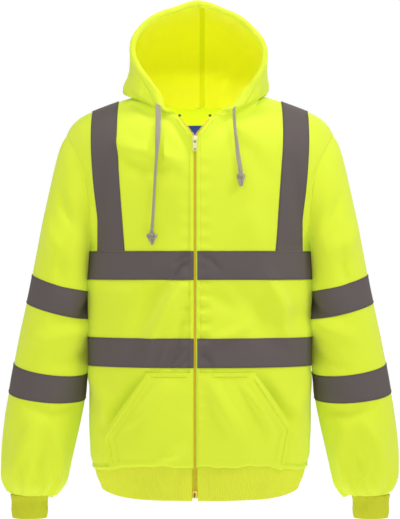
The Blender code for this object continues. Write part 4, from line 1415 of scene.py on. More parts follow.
# Where a height or a move starts, and where it is full
GATHER_TOP = (-0.615, -0.664)
GATHER_FOOT = (-0.6763, -0.668)
OFF_CUFF = (-0.676, -0.650)
BELOW_HEAD = (-0.085, -0.14)
OFF_ARMHOLE = (0.2005, 0.225)
RIB_WALL = 0.0034
RIB_RIDGE = (0.00036, 0.00018, -0.00030, 0.00018)
SLEEVE_CREASES = {
    Side.RIGHT: ridges(Crease, (1, 1000), (
        ((62, -148, 85, -172, 118, -208), 150, -36), ((30, -190, 60, -225, 100, -255), 180, 30),
        ((100, -230, 92, -262, 98, -300), 160, -24), ((172, -335, 135, -358, 92, -368), 130, -44, 0.2),
        ((170, -372, 130, -390, 85, -402, 50, -396), 140, 34), ((168, -425, 135, -428, 100, -440), 120, -30),
        ((70, -518, 104, -528, 142, -516), 140, -50, -0.2), ((88, -540, 74, -575, 60, -618), 160, 40),
        ((112, -555, 132, -595, 142, -636), 150, 36), ((100, -590, 98, -640), 120, -32),
        ((20, -560, 35, -600), 150, -26), ((340, -200, 300, -240, 262, -262), 170, 40),
        ((190, -340, 235, -366, 290, -372), 140, 46, 0.2), ((195, -395, 240, -412, 280, -408), 130, -40),
        ((320, -500, 280, -528, 230, -540), 160, 42), ((300, -560, 265, -600, 258, -640), 160, -42),
        ((210, -560, 225, -610), 140, 34),
    )),
    Side.LEFT: ridges(Crease, (1, 1000), (
        ((60, -152, 88, -178, 120, -214), 160, -30), ((28, -205, 62, -232, 104, -250), 170, 28),
        ((78, -235, 86, -270, 80, -305), 150, -26), ((174, -330, 138, -352, 98, -360), 130, -40, 0.2),
        ((172, -368, 128, -380, 80, -398), 150, 36), ((166, -418, 130, -430, 104, -448), 120, -34),
        ((72, -522, 108, -530, 146, -520), 150, -48, -0.2), ((84, -545, 70, -582, 64, -622), 160, 38),
        ((116, -560, 134, -600, 138, -640), 140, 40), ((102, -596, 104, -642), 110, -34),
        ((18, -548, 30, -590), 160, -26), ((336, -190, 298, -232, 258, -268), 180, 36),
        ((192, -348, 240, -372, 286, -366), 150, 42, 0.2), ((200, -398, 238, -420, 276, -414), 130, -44),
        ((318, -506, 276, -536, 228, -544), 170, 40), ((296, -566, 262, -604, 252, -642), 150, -40),
    )),
}


def sleeve_place(points: Numbers) -> tuple[Numbers, Numbers, Numbers, Numbers]:
    """Where points lie on a sleeve.

    Args:
        points: Places on or near a sleeve.

    Returns:
        Degrees round from the outer side over the front, distance from the middle across, and the sleeve's
        half width and half depth there.
    """
    z = points[:, 2]
    middle, half, deep = (np.interp(z, SLEEVE_LINE[:, 0], SLEEVE_LINE[:, column]) for column in (1, 2, 3))
    across = np.abs(points[:, 0]) - middle
    turn = np.degrees(np.arctan2(-points[:, 1] / deep, across / half)) % 360.0
    return turn, across, half, deep


def sleeve_out(points: Numbers) -> Numbers:
    """Directions straight out of a sleeve's wall.

    Args:
        points: Places on or near it.

    Returns:
        Unit vectors as rows.
    """
    _, across, half, deep = sleeve_place(points)
    lift = 14.0 * smooth_step(-0.16, -0.05, points[:, 2])
    drop = -6.0 * smooth_step(-0.655, -0.680, points[:, 2])
    wide = np.sign(points[:, 0]) * across / half ** 2
    return unit(np.stack([wide, points[:, 1] / deep ** 2, lift + drop], axis=1))


def gathers(turn: Numbers, seed: float) -> Numbers:
    """Uneven pleats round a tube, from -1 to 1.

    Args:
        turn: Radians round the tube.
        seed: Shifts the pattern.

    Returns:
        Pleat heights.
    """
    return (0.55 * np.sin(11 * turn + seed + 0.8 * np.sin(3 * turn + seed))
            + 0.3 * np.sin(17 * turn + 2.1 * seed) + 0.2 * np.sin(5 * turn - seed))


@dataclass
class SleevePair:
    """Both sleeves with their bands and rib cuffs."""

    levels: int = 3
    cuff_x: float = 0.3015
    cuff_rows: tuple[Triple, ...] = (
        (-0.6738, 0.0340, 0.0336), (-0.6800, 0.0334, 0.0330), (-0.6860, 0.0317, 0.0312),
        (-0.6940, 0.0316, 0.0309), (-0.7020, 0.0321, 0.0311), (-0.7100, 0.0316, 0.0305),
        (-0.7162, 0.0303, 0.0293))
    cuff_span: Pair = (-0.6764, -0.7162)
    cuff_ribs: int = 76
    shells: dict[Side, Piece] = field(default_factory=dict)
    walls: dict[Side, BVHTree] = field(default_factory=dict)
    bands: dict[Side, list[Piece]] = field(default_factory=lambda: {side: [] for side in Side})

    def build(self) -> None:
        """Make both sleeves."""
        for side in Side:
            self.shells[side] = self.sleeve(side)
            self.walls[side] = surface_of([self.shells[side]])
            for name, length in (("upper", 0.416), ("lower", 0.435)):
                self.band(side, name, length)
            self.cuff(side)

    def relief(self, side: Side) -> PlaceMap:
        """Creases of one sleeve with the gathers above its cuff.

        Args:
            side: The sleeve.

        Returns:
            A function from places to metres outwards.
        """
        def height(points: Numbers) -> Numbers:
            """Height of the sleeve's relief.

            Args:
                points: Places on the sleeve.

            Returns:
                Metres outwards.
            """
            turn, _, _, _ = sleeve_place(points)
            z = points[:, 2]
            total = np.zeros(len(points))
            for crease in SLEEVE_CREASES[side]:
                for lap in (-360.0, 0.0, 360.0):
                    total += crease.at(turn + lap, z, SLEEVE_DEGREE)
            total *= smooth_step(*BELOW_HEAD, z)
            total *= smooth_step(*OFF_ARMHOLE, np.abs(points[:, 0]) + np.maximum(0.0, -0.27 - z))
            pleats = gathers(np.radians(turn), 1.3 * side.value)
            near = smooth_step(*GATHER_TOP, z) * smooth_step(*GATHER_FOOT, z)
            inner, fore, low = (
                mound(turn, middle, wide) * smooth_step(*foot, z) * smooth_step(*head, z)
                for middle, wide, foot, head in SLEEVE_SWELLS)
            own = total * FOLD_DEPTH * smooth_step(*OFF_CUFF, z) + GATHER_DEPTH * near * pleats
            return own + SWELL_INNER * inner + SWELL_FORE * fore + SWELL_LOW * low

        return height

    def droop(self, points: Numbers) -> Numbers:
        """Let the cloth hang down over the cuff, further on the side towards the body.

        Args:
            points: Points of the sleeve.

        Returns:
            The same points, moved.
        """
        reach = np.abs(points[:, 0]) - self.cuff_x
        away = np.hypot(reach, points[:, 1])
        share = smooth_step(-0.615, -0.652, points[:, 2]) * smooth_step(0.037, 0.050, away)
        fall = np.interp(reach, (-0.045, -0.015, 0.020, 0.050), (-0.0095, -0.0034, 0.0, 0.0036))
        points[:, 2] += share * fall
        return points

    def sleeve(self, side: Side) -> Piece:
        """Fine shell of one sleeve.

        Args:
            side: The sleeve.

        Returns:
            The piece.
        """
        def close(points: Numbers) -> Numbers:
            """Bring the sleeve's head up to the armhole.

            Args:
                points: Points of the solid.

            Returns:
                The same points, moved.
            """
            head = (np.abs(points[:, 0]) < 0.2365) & (points[:, 2] > -0.2395)
            points[head, 0] -= side.value * 0.0003
            return points

        node = f"sleeve_{side.word}"
        mesh = refine(node, self.levels, close)
        displace(mesh, sleeve_out, self.relief(side))
        put_points(mesh, self.droop(points_of(mesh)))
        piece = add_piece(f"sleeve_panel_{side.word}", mesh, FLEECE, node)
        line_inside(piece, sleeve_out)
        return piece

    def band(self, side: Side, name: str, length: float) -> None:
        """Reflective band round one sleeve.

        Args:
            side: The sleeve.
            name: Upper or lower.
            length: Not used.
        """
        node = f"sleeve_tape_{name}_{side.word}"
        mesh = refine(node, self.levels)
        lay_on(mesh, self.walls[side], sleeve_out, 0.00005, 0.0009)
        set_metres(mesh, round_chart)
        piece = add_piece(f"{node}_band", mesh, TAPE, node)
        self.bands[side].append(piece)

    def cuff(self, side: Side) -> None:
        """Rib cuff of one sleeve, folded double at its foot.

        Args:
            side: The sleeve.
        """
        table = np.array(self.cuff_rows)[::-1]

        def place(turn: float, z: float, inset: float) -> Vector:
            """Point of the cuff.

            Args:
                turn: Radians round it.
                z: Height.
                inset: Depth inside its outer skin.

            Returns:
                The point.
            """
            half, deep = (float(np.interp(z, table[:, 0], table[:, column])) for column in (1, 2))
            uneven = 1.0 + 0.018 * math.sin(3 * turn + side.value) + 0.010 * math.sin(5 * turn + 2.0)
            x = self.cuff_x + (half * uneven - inset) * math.cos(turn)
            return Vector((side.value * x, -(deep * uneven - inset) * math.sin(turn), z))

        mesh = rib_wall(place, self.cuff_span, 2 * math.pi, self.cuff_ribs, 14, closed=True)
        # The cuffs wear the darker copy of the rib, as painted shade.
        piece = add_piece(f"cuff_rib_{side.word}", mesh, CUFF_KNIT_SHADED, f"cuff_{side.word}")


def rib_wall(place: Callable[[float, float, float], Vector], span: Pair, around: float, ribs: int, rows: int,
             closed: bool) -> Shape:
    """Doubled rib knit: upright ridges outside and in, with a rounded fold at the foot.

    Args:
        place: Point at a distance round, a height and an inset.
        span: Heights of the seam and of the fold.
        around: Length of the way round, in the units of place.
        ribs: Number of ridges.
        rows: Rows on each skin.
        closed: Whether the band is a closed tube.

    Returns:
        The mesh.
    """
    wall = RIB_WALL
    steps = ribs * len(RIB_RIDGE)
    columns = steps if closed else steps + 1
    top, foot = span
    path = [(top + (foot - top) * row / rows, 0.0) for row in range(rows + 1)]
    for turn in (30, 60, 90, 120, 150):
        angle = math.radians(turn)
        path.append((foot - math.sin(angle) * wall * 0.42, wall / 2 * (1 - math.cos(angle))))
    path += [(top + (foot - top) * row / rows, wall) for row in range(rows, -1, -2)]
    points: list[Vector] = []
    faces: Faces = []
    for z, inset in path:
        sign = 1.0 - 2.0 * inset / wall
        for step in range(columns):
            points.append(place(around * step / steps, z, inset - sign * RIB_RIDGE[step % len(RIB_RIDGE)]))
    for row in range(len(path) - 1):
        for step in range(steps):
            a, b = row * columns + step, row * columns + (step + 1) % columns
            faces.append((a, b, b + columns, a + columns))
    last = (len(path) - 1) * columns
    for step in range(steps):
        n = (step + 1) % columns
        faces.append((n, step, last + step, last + n))
    if not closed:
        for edge in (0, steps):
            faces.append(tuple(row * columns + edge for row in range(len(path))))
    mesh = mesh_from("rib", points, faces)
    body = bmesh.new()
    body.from_mesh(mesh)
    bmesh.ops.recalc_face_normals(body, faces=body.faces)
    body.to_mesh(mesh)
    body.free()
    return mesh


@dataclass
class HemBand:
    """Rib band round the foot of the body, open at the zip."""

    rows: tuple[Quad, ...] = (
        (-0.6183, 0.1900, 0.1120, 0.1060), (-0.6300, 0.1850, 0.1115, 0.1055),
        (-0.6500, 0.1810, 0.1090, 0.1030), (-0.6748, 0.1735, 0.1053, 0.0993))
    power: float = 2.4
    ribs: int = 300
    length: float = 0.975

    def section(self) -> list[Pair]:
        """Places round the seam, evenly spaced from the right zip edge round to the left one.

        Returns:
            Share of the half width and sign and share of the depth for each step.
        """
        half, ahead, behind = self.rows[0][1:]

        def solid(pair: Pair) -> Pair:
            """Metres across and back of a pair of shares."""
            return pair[0] * half, pair[1] * (ahead if pair[1] < 0 else behind)

        fine: list[Pair] = []
        for step in range(4001):
            turn = -math.pi / 2 - 2 * math.pi * step / 4000
            fine.append((powered(math.cos(turn), self.power), powered(math.sin(turn), self.power)))
        kept = [pair for pair in fine if not (pair[1] < 0 and abs(solid(pair)[0] - ZIP_X) < ZIP_EDGE)]
        start = next(i for i, pair in enumerate(kept) if solid(pair)[0] < ZIP_X and pair[1] < 0)
        kept = kept[start:] + kept[:start]
        lengths = [0.0]
        for a, b in zip(kept, kept[1:]):
            (ax, ay), (bx, by) = solid(a), solid(b)
            lengths.append(lengths[-1] + math.hypot(bx - ax, by - ay))
        wanted = np.linspace(0.0, lengths[-1], self.ribs * len(RIB_RIDGE) + 1)
        firsts, seconds = (np.interp(wanted, lengths, shares) for shares in zip(*kept))
        return list(zip(firsts, seconds))

    def build(self) -> None:
        """Knit the band."""
        ring = self.section()
        table = np.array(self.rows)[::-1]
        count = self.ribs * len(RIB_RIDGE)
        high, top = self.rows[0][:2]
        foot = self.rows[-1][0]

        def place(step: float, z: float, inset: float) -> Vector:
            """Point of the band.

            Args:
                step: Steps round it from the right zip edge.
                z: Height.
                inset: Depth inside its outer skin.

            Returns:
                The point.
            """
            across, deep = ring[min(count, round(step))]
            half, ahead, behind = (float(np.interp(z, table[:, 0], table[:, column])) for column in (1, 2, 3))
            x = across * top
            x *= 1.0 + (half / top - 1.0) * float(smooth_step(0.012, 0.05, abs(x)))
            low = float(smooth_step(-0.619, -0.640, z))
            calm = float(smooth_step(0.004, 0.03, abs(x - ZIP_X)))
            along = step / count * self.length
            wave = math.sin(along * 104.0 + 2.2 * math.sin(along * 31.0)) * 0.6
            wave += math.sin(along * 61.0 + 1.0) * 0.5
            reach = (ahead if deep < 0 else behind) - inset + 0.0026 * wave * low * calm
            lift = hem_wave(np.array([x]))[0] * (1.0 - low)
            corner = HEM_HANG * float(smooth_step(-0.630, -0.675, z)) * abs(across) ** 5
            return Vector((x * (1.0 - inset / half), deep * reach, z + lift + corner))

        mesh = rib_wall(place, (high, foot), count, self.ribs, 12, closed=False)
        piece = add_piece("hem_band", mesh, RIB_KNIT, "hem_rib")


# Hood, eyelets and drawcords


@dataclass(frozen=True)
class Fold:
    """Soft ridge or trough of the hood along a line in space."""

    places: tuple[Triple, ...]
    width: float
    height: float

    def at(self, points: Numbers) -> Numbers:
        """Height of the fold at many places, fading towards both ends.

        Args:
            points: The places.

        Returns:
            Heights in metres.
        """
        best = np.full(len(points), FAR)
        found = np.zeros(len(points))
        for index, (first, second) in enumerate(zip(self.places, self.places[1:])):
            run = np.array(second) - np.array(first)
            share = np.clip((points - first) @ run / (run @ run), 0.0, 1.0)
            away = np.linalg.norm(points - first - share[:, None] * run, axis=1)
            height = self.height * fading(share, index, len(self.places) - 1) * mound(away, 0.0, self.width)
            nearer = away < best
            best = np.where(nearer, away, best)
            found = np.where(nearer, height, found)
        return found


HOOD_SEAM_X = 0.0040
HOOD_FOLDS = ridges(Fold, (1000, 1000, 1000), (
    ((-86, -70, 70, -78, -62, 46, -66, -56, 22), 90, -40),
    ((-98, -60, 60, -92, -50, 36, -80, -46, 16), 90, 36), ((84, -68, 74, 74, -60, 50, 60, -52, 26), 100, -40),
    ((98, -56, 70, 90, -46, 40, 74, -44, 14), 90, 34), ((-112, 30, 34, -108, 50, 46, -90, 85, 52), 140, -46),
    ((106, 30, 36, 102, 50, 48, 84, 85, 56), 140, -44), ((-60, 124, 80, 0, 146, 74, 66, 120, 84), 150, -46),
    ((-116, 30, 90, -110, 40, 130, -84, 50, 165), 180, 40),
    ((110, 30, 84, 104, 36, 126, 76, 44, 162), 180, 38),
    ((-50, -30, 182, -50, 30, 184, -40, 80, 176), 140, 30),
    ((44, -40, 178, 50, 20, 180, 44, 70, 174), 140, -30),
    ((-30, 140, 60, -34, 150, 110, -30, 138, 150), 160, 34),
    ((-92, 20, 150, -86, 70, 125, -80, 100, 85), 150, -42),
    ((84, 20, 160, 70, 60, 150, 58, 100, 130), 120, -36),
    ((30, 130, 52, 36, 142, 100, 40, 130, 140), 140, -34),
))
HOOD_MIDDLE_Z = 0.085
HOOD_CENTRE = np.array((0.0, 0.030, HOOD_MIDDLE_Z))
HOOD_FOLD_DEPTH = 1.5
LOBE_RIGHT = 0.0085
LOBE_LEFT = 0.0060
LIP_HEIGHT = 0.0066
LIP_WIDTH = 0.0085
# Where a height or a move starts, and where it is full
OFF_MIDDLE = (0.040, 0.062)
BEHIND_RIM = (-0.092, -0.066)


def hood_out(points: Numbers) -> Numbers:
    """Directions straight out of the hood.

    Args:
        points: Places on or near it.

    Returns:
        Unit vectors as rows.
    """
    off = points - HOOD_CENTRE
    off[:, 1] = np.where(off[:, 1] < 0.0, off[:, 1] * 0.25, off[:, 1])
    return unit(off / np.array((0.9, 1.0, 1.05)))


def lower_edge(x: Numbers) -> Numbers:
    """Height of the hood's seam on the fronts at a distance from the middle."""
    return np.interp(np.abs(x), (0.030, 0.060, 0.080, 0.098), (-0.014, -0.006, 0.004, 0.017))


def hood_relief(points: Numbers) -> Numbers:
    """Folds of the hood, with the rolled edge that holds the cord left calm.

    Args:
        points: Places on the cloth.

    Returns:
        Metres outwards.
    """
    total = sum(fold.at(points) for fold in HOOD_FOLDS) * HOOD_FOLD_DEPTH
    x, y, z = points.T
    neck = smooth_step(0.004, 0.030, z - 0.10 * np.maximum(0.0, y))
    beside = smooth_step(0.075, 0.115, np.abs(x)) * smooth_step(-0.100, -0.070, y)
    beside = beside * smooth_step(0.075, 0.035, y)
    lobe = np.where(x < 0.0, LOBE_RIGHT, LOBE_LEFT) * mound(z, 0.040, 0.021) * beside
    collar = smooth_step(*OFF_MIDDLE, np.abs(x)) * smooth_step(-0.055, -0.075, y)
    base = lower_edge(x)
    lip = LIP_HEIGHT * mound(z - base, 0.013, LIP_WIDTH) * collar * smooth_step(0.001, 0.007, z - base)
    seam = -0.0008 * mound(x, HOOD_SEAM_X, 0.003) * smooth_step(-0.06, 0.0, y) + lip
    return total * neck * smooth_step(*BEHIND_RIM, y) + seam + lobe * smooth_step(0.012, 0.026, z)


@dataclass
class Hood:
    """Both hood halves with the tape over their seam and the edges of the drawcord's casing.

    A row of the rim is its height, its y, and how far it stands off the middle on the right and on the left.
    """

    rim: tuple[Quad, ...] = (
        (0.0060, -0.096, 0.0590, 0.0580), (0.0240, -0.099, 0.0735, 0.0780), (0.0450, -0.101, 0.0895, 0.0965),
        (0.0680, -0.102, 0.1055, 0.1090), (0.0930, -0.100, 0.1170, 0.1125), (0.1170, -0.096, 0.1175, 0.1100),
        (0.1380, -0.091, 0.1090, 0.0955), (0.1570, -0.086, 0.0915, 0.0775), (0.1730, -0.082, 0.0650, 0.0510),
        (0.1860, -0.079, 0.0037, -0.0033))
    cut: dict[Side, Triple] = field(default_factory=lambda: {
        Side.RIGHT: (0.328, 0.299, 0.0716), Side.LEFT: (0.317, 0.312, 0.0657)})
    turned_edge: float = 0.0170
    halves: list[Piece] = field(default_factory=list)
    wall: BVHTree = field(init=False)

    def build(self) -> None:
        """Make both halves, the tape over their seam and the casing's edges."""
        for side in Side:
            self.halves.append(self.half(side))
        self.wall = surface_of(self.halves)
        self.seam_tape()
        for side in Side:
            self.casing_edge(side)

    def half(self, side: Side) -> Piece:
        """One half of the hood.

        Args:
            side: The half.

        Returns:
            The piece.
        """
        def close(points: Numbers) -> Numbers:
            """Bring the half up to the centre seam and down onto the neck.

            Args:
                points: Points of the solid.

            Returns:
                The same points, moved.
            """
            x, y, z = points.T
            points[np.abs(x - HOOD_SEAM_X) < 0.0006, 0] = HOOD_SEAM_X
            line = -0.0035 + (HOOD_SEAM_X + 0.0035) * np.clip((y + 0.079) / 0.165, 0.0, 1.0)
            crown = (z > 0.18) & (np.abs(x - line) < 0.0006)
            points[crown, 0] = line[crown]
            points[(y > 0.02) & (z < 0.022), 2] -= 0.0036
            return points

        def rolls(place: Vector) -> bool:
            """Whether an edge lies on the rim, where the cloth turns in softly."""
            return place.y < -0.060 and place.z > 0.004 and abs(place.x - HOOD_SEAM_X) > 0.012

        mesh = refine(f"hood_{side.word}", 3, close, soft=rolls)
        displace(mesh, hood_out, hood_relief)
        self.roll_rim(mesh, side)
        self.shape_crown(mesh)
        piece = add_piece(f"hood_panel_{side.word}", mesh, FLEECE, f"hood_{side.word}")
        # The inside of the hood wears the copy of the nap tinted with painted bounce light.
        line_inside(piece, hood_out, HOOD_LINING_BOUNCE)
        away = self.off_rim(np.array([face.center for face in mesh.polygons]), side)
        kinds = np.empty(len(away), dtype=np.int32)
        mesh.polygons.foreach_get("material_index", kinds)
        kinds[away < self.turned_edge] = 0
        mesh.polygons.foreach_set("material_index", kinds)
        width, length, area = self.cut[side]
        return piece

    def off_rim(self, points: Numbers, side: Side) -> Numbers:
        """Distance of many places from the rim of one half.

        Args:
            points: The places.
            side: The half.

        Returns:
            Distances in metres.
        """
        away = np.full(len(points), FAR)
        for place in even_path(self.rim_line(side, 0.0), 0.003):
            away = np.minimum(away, np.linalg.norm(points - np.array(tuple(place)), axis=1))
        return away

    def roll_rim(self, mesh: Shape, side: Side) -> None:
        """Plump the turned edge that holds the drawcord, with a groove where it is stitched down.

        Args:
            mesh: The half's mesh.
            side: The half.
        """
        points = points_of(mesh)
        normals = np.array([vertex.normal for vertex in mesh.vertices])
        away = self.off_rim(points, side)
        plump = 0.0026 * mound(away, 0.006, 0.0060) - 0.0018 * mound(away, 0.0155, 0.0030)
        plump *= smooth_step(-0.012, 0.014, points[:, 2])
        put_points(mesh, points + normals * plump[:, None])

    def shape_crown(self, mesh: Shape) -> None:
        """Lower the crown's shoulders a little and fill the sides, as the cloth's weight does.

        Args:
            mesh: The half's mesh.
        """
        points = points_of(mesh)
        x, y, z = points.T.copy()
        points[:, 2] -= 0.0036 * smooth_step(0.015, 0.050, np.abs(x)) * smooth_step(0.105, 0.145, z)
        collar = smooth_step(*OFF_MIDDLE, np.abs(x)) * smooth_step(-0.050, -0.072, y)
        points[:, 2] -= 0.0048 * collar * mound(z - lower_edge(x), 0.008, 0.0075)
        points[:, 0] += np.sign(x) * 0.0030 * smooth_step(0.05, 0.10, np.abs(x)) * mound(z, 0.083, 0.030)
        put_points(mesh, points)

    def met(self, start: Vector, way: Vector, lift: float) -> list[Vector]:
        """Place just inside the hood that a line from within it meets.

        Args:
            start: Where the line starts.
            way: Its unit direction.
            lift: How far inside the cloth the place is.

        Returns:
            The place alone, or nothing where the line meets no cloth.
        """
        hit = self.wall.ray_cast(start, way, 0.2)[0]
        return [] if hit is None else [hit - way * lift]

    def seam_tape(self) -> None:
        """Narrow tape pressed over the centre seam on the inside of the hood."""
        centre = Vector((HOOD_SEAM_X, 0.020, HOOD_MIDDLE_Z))
        path: list[Vector] = []
        for step in range(60):
            turn = math.radians(143 - 205 * step / 59)
            path += self.met(centre, Vector((0.0, math.cos(turn), math.sin(turn))), 0.0007)
        piece = add_ribbon("hood_seam_tape", path, ACROSS, lambda share: oval(0.0045, 0.0006, 10),
                           SEAM_TAPE)
        path_length(path)
        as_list(self.halves)

    def casing_edge(self, side: Side) -> None:
        """Turned-in edge of the casing that holds the drawcord, sewn down inside the hood.

        Args:
            side: The half.
        """
        path: list[Vector] = []
        for place in even_path(self.rim_line(side, 0.018)[1:], 0.004):
            inside = Vector((place.x * 0.5, place.y, HOOD_MIDDLE_Z + (place.z - HOOD_MIDDLE_Z) * 0.5))
            path += self.met(inside, (place - inside).normalized(), 0.0005)
        piece = add_ribbon(f"hood_casing_edge_{side.word}", path, BACKWARD,
                           lambda share: oval(0.0044, 0.0012), FLEECE)
        path_length(path)
        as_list(self.halves)

    def rim_line(self, side: Side, back: float) -> list[Vector]:
        """Line beside the rim of one half.

        Args:
            side: The half.
            back: Distance behind the rim.

        Returns:
            Places near the outside of the hood.
        """
        found = []
        for z, y, right, left in self.rim:
            reach = right if side is Side.RIGHT else left
            found.append(Vector((side.value * reach, y + back, z + 0.10 * back)))
        return found


EYELET_RING = ((0.0026, -0.0004), (0.0027, 0.0004), (0.0031, 0.0008), (0.0038, 0.0008), (0.0044, 0.0002),
               (0.0045, -0.0006), (0.0036, -0.0008))
# Profile of the disc of painted shade that fills the eyelet's hole.
EYELET_HOLE_SHADE = ((0.0027, -0.0003), (0.0001, -0.0003), (0.0001, -0.0009), (0.0027, -0.0009))


@dataclass
class Drawcord:
    """One free end of the flat drawcord, with its eyelet and the knot that closes it."""

    side: Side
    length: float
    route: tuple[Triple, ...]
    knot_at: Triple
    knot_size: Triple
    eyelet_out: Triple
    width: float
    thick: float = 0.0022
    loop_steps: int = 72
    eyelet_steps: int = 32

    def build(self) -> None:
        """Make the knot, then the cord that it closes, and the eyelet."""
        self.cord(self.knot())
        self.eyelet()

    def twist(self, share: float) -> float:
        """How far the flat cord has turned.

        Args:
            share: Share of its way down.

        Returns:
            Radians.
        """
        if self.side is Side.RIGHT:
            turned = 12.0 + 46.0 * float(smooth_step(0.22, 0.50, share))
            turned -= 10.0 * float(smooth_step(0.8, 1.0, share))
        else:
            turned = 60.0 - 48.0 * float(smooth_step(0.35, 0.85, share))
        return math.radians(turned)

    def section(self, share: float) -> list[Pair]:
        """Outline of the cord at a share of its way down, a little narrower below."""
        narrow = 1.0 - 0.12 * float(smooth_step(0.25, 0.6, share))
        return oval(self.width * 0.5 * narrow, self.thick * 0.5, 14)

    def cord(self, knot: Piece) -> None:
        """Flat braided cord along its route.

        Args:
            knot: Not used.
        """
        path = even_path(self.route, 0.0042)
        sides = []
        for index in range(len(path)):
            turn = self.twist(index / (len(path) - 1))
            sides.append(Vector((math.cos(turn), -math.sin(turn), 0.0)))
        piece = add_ribbon(f"drawcord_{self.side.word}_flat", path, sides, self.section, CORD_CLOTH,
                           f"drawcord_{self.side.word}")
        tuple(self.route[0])
        [tuple(place) for place in path]

    def knot(self) -> Piece:
        """Overhand knot drawn tight in the flat cord, with a short tail and a round bundle inside.

        Returns:
            The knot.
        """
        rx, ry, rz = self.knot_size
        centre = Vector(self.knot_at)
        loop: list[Vector] = []
        sides: list[Vector] = []
        for step in range(self.loop_steps + 1):
            t = 2 * math.pi * step / self.loop_steps
            x = (math.sin(t) + 2 * math.sin(2 * t)) / 3.0
            z = (math.cos(t) - 2 * math.cos(2 * t)) / 3.0
            y = -math.sin(3 * t)
            loop.append(centre + Vector((x * (rx - 0.0019), y * (ry - 0.0014) * 0.8, z * (rz - 0.0019))))
            sides.append(Vector((0.35 * math.cos(t), 1.0, 0.35 * math.sin(t))))
        top = centre + Vector((0.0, 0.0, rz * 1.25))
        foot = centre + Vector((0.0006, -0.0012, -rz))
        end = centre + Vector((0.0012 * self.side.value, -0.0010, -rz - 0.0006))
        core = [centre + Vector((0.0, 0.0, rz * (0.72 - 0.098 * step))) for step in range(16)]
        points: list[Vector] = []
        faces: Faces = []
        for path, across, outline in (
                (loop, sides, lambda share: oval(0.0034, 0.0017)),
                (even_path([top, centre, foot, end], 0.0012), Vector((1.0, -0.35, 0.0)),
                 lambda share: oval(0.0034 + 0.0004 * share, 0.0012)),
                (core, ACROSS, self.core)):
            more, shapes = ribbon(path, across, outline)
            faces += [tuple(index + len(points) for index in face) for face in shapes]
            points += more
        name = f"cord_knot_{self.side.word}"
        return add_piece(f"{name}_tied", mesh_from("knot", points, faces), CORD_CLOTH, name)

    def core(self, share: float) -> list[Pair]:
        """Section of the round bundle inside the knot at a share of its height."""
        swell = max(0.06, 1.0 - (2.0 * share - 1.0) ** 2) ** 0.5
        return oval(self.knot_size[0] * 0.70 * swell, self.knot_size[1] * 0.66 * swell, 14, 2.0)

    def eyelet(self) -> None:
        """Pressed metal ring in the hood's edge, with a near-black disc of painted shade in its hole."""
        node = f"eyelet_{self.side.word}"
        self.turned(f"eyelet_ring_{self.side.word}", EYELET_RING, EYELET_METAL, node)
        self.turned(f"eyelet_hole_{self.side.word}", EYELET_HOLE_SHADE, SHADOW, None)

    def turned(self, name: str, profile: Sequence[Pair], finish: Finish, node: str | None) -> None:
        """Closed ring round the eyelet's axis.

        Args:
            name: The piece's name.
            profile: Radius and lift of each round of points.
            finish: The finish it wears.
            node: The CAD node it stands for.
        """
        low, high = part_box(f"eyelet_{self.side.word}")
        centre = (low + high) / 2
        out = Vector(self.eyelet_out).normalized()
        across = out.orthogonal().normalized()
        beside = out.cross(across)
        around = self.eyelet_steps
        points: list[Vector] = []
        faces: Faces = []
        for row, (radius, lift) in enumerate(profile):
            below = (row + 1) % len(profile) * around
            for step in range(around):
                turn = 2 * math.pi * step / around
                spoke = across * math.cos(turn) + beside * math.sin(turn)
                points.append(centre + spoke * radius + out * lift)
                n = (step + 1) % around
                faces.append((row * around + step, row * around + n, below + n, below + step))
        add_piece(name, mesh_from(name, points, faces), finish, node)


DRAWCORDS = (
    Drawcord(Side.RIGHT, 0.235, (
        (-0.0722, -0.0905, 0.0125), (-0.0730, -0.0948, 0.0100), (-0.0726, -0.0985, 0.0035),
        (-0.0718, -0.1022, -0.0060), (-0.0716, -0.1070, -0.0180), (-0.0718, -0.1125, -0.0325),
        (-0.0722, -0.1184, -0.0500), (-0.0734, -0.1218, -0.0700), (-0.0750, -0.1224, -0.0950),
        (-0.0767, -0.1220, -0.1200), (-0.0783, -0.1213, -0.1480), (-0.0798, -0.1211, -0.1760),
        (-0.0812, -0.1222, -0.2000), (-0.0820, -0.1236, -0.2137)),
        (-0.0822, -0.1240, -0.2235), (0.0092, 0.0066, 0.0098), (-0.45, -0.85, -0.10), 0.0092),
    Drawcord(Side.LEFT, 0.119, (
        (0.0582, -0.0952, 0.0014), (0.0584, -0.0990, -0.0002), (0.0586, -0.1022, -0.0062),
        (0.0588, -0.1056, -0.0145), (0.0594, -0.1112, -0.0280), (0.0606, -0.1184, -0.0440),
        (0.0628, -0.1204, -0.0620), (0.0650, -0.1212, -0.0820), (0.0678, -0.1232, -0.1000),
        (0.0690, -0.1246, -0.1108)),
        (0.0698, -0.1251, -0.1226), (0.0074, 0.0058, 0.0118), (0.306, -0.951, 0.049), 0.0084),
)


# Zip and label


PULL_HINGE = Vector((-0.0088, -0.1227, -0.0560))
PLATE = ((0.0030, 0.0062), (0.0048, 0.0046), (0.0050, 0.0010), (0.0040, -0.0030), (0.0034, -0.0062),
         (-0.0034, -0.0062), (-0.0040, -0.0030), (-0.0050, 0.0010), (-0.0048, 0.0046), (-0.0030, 0.0062))


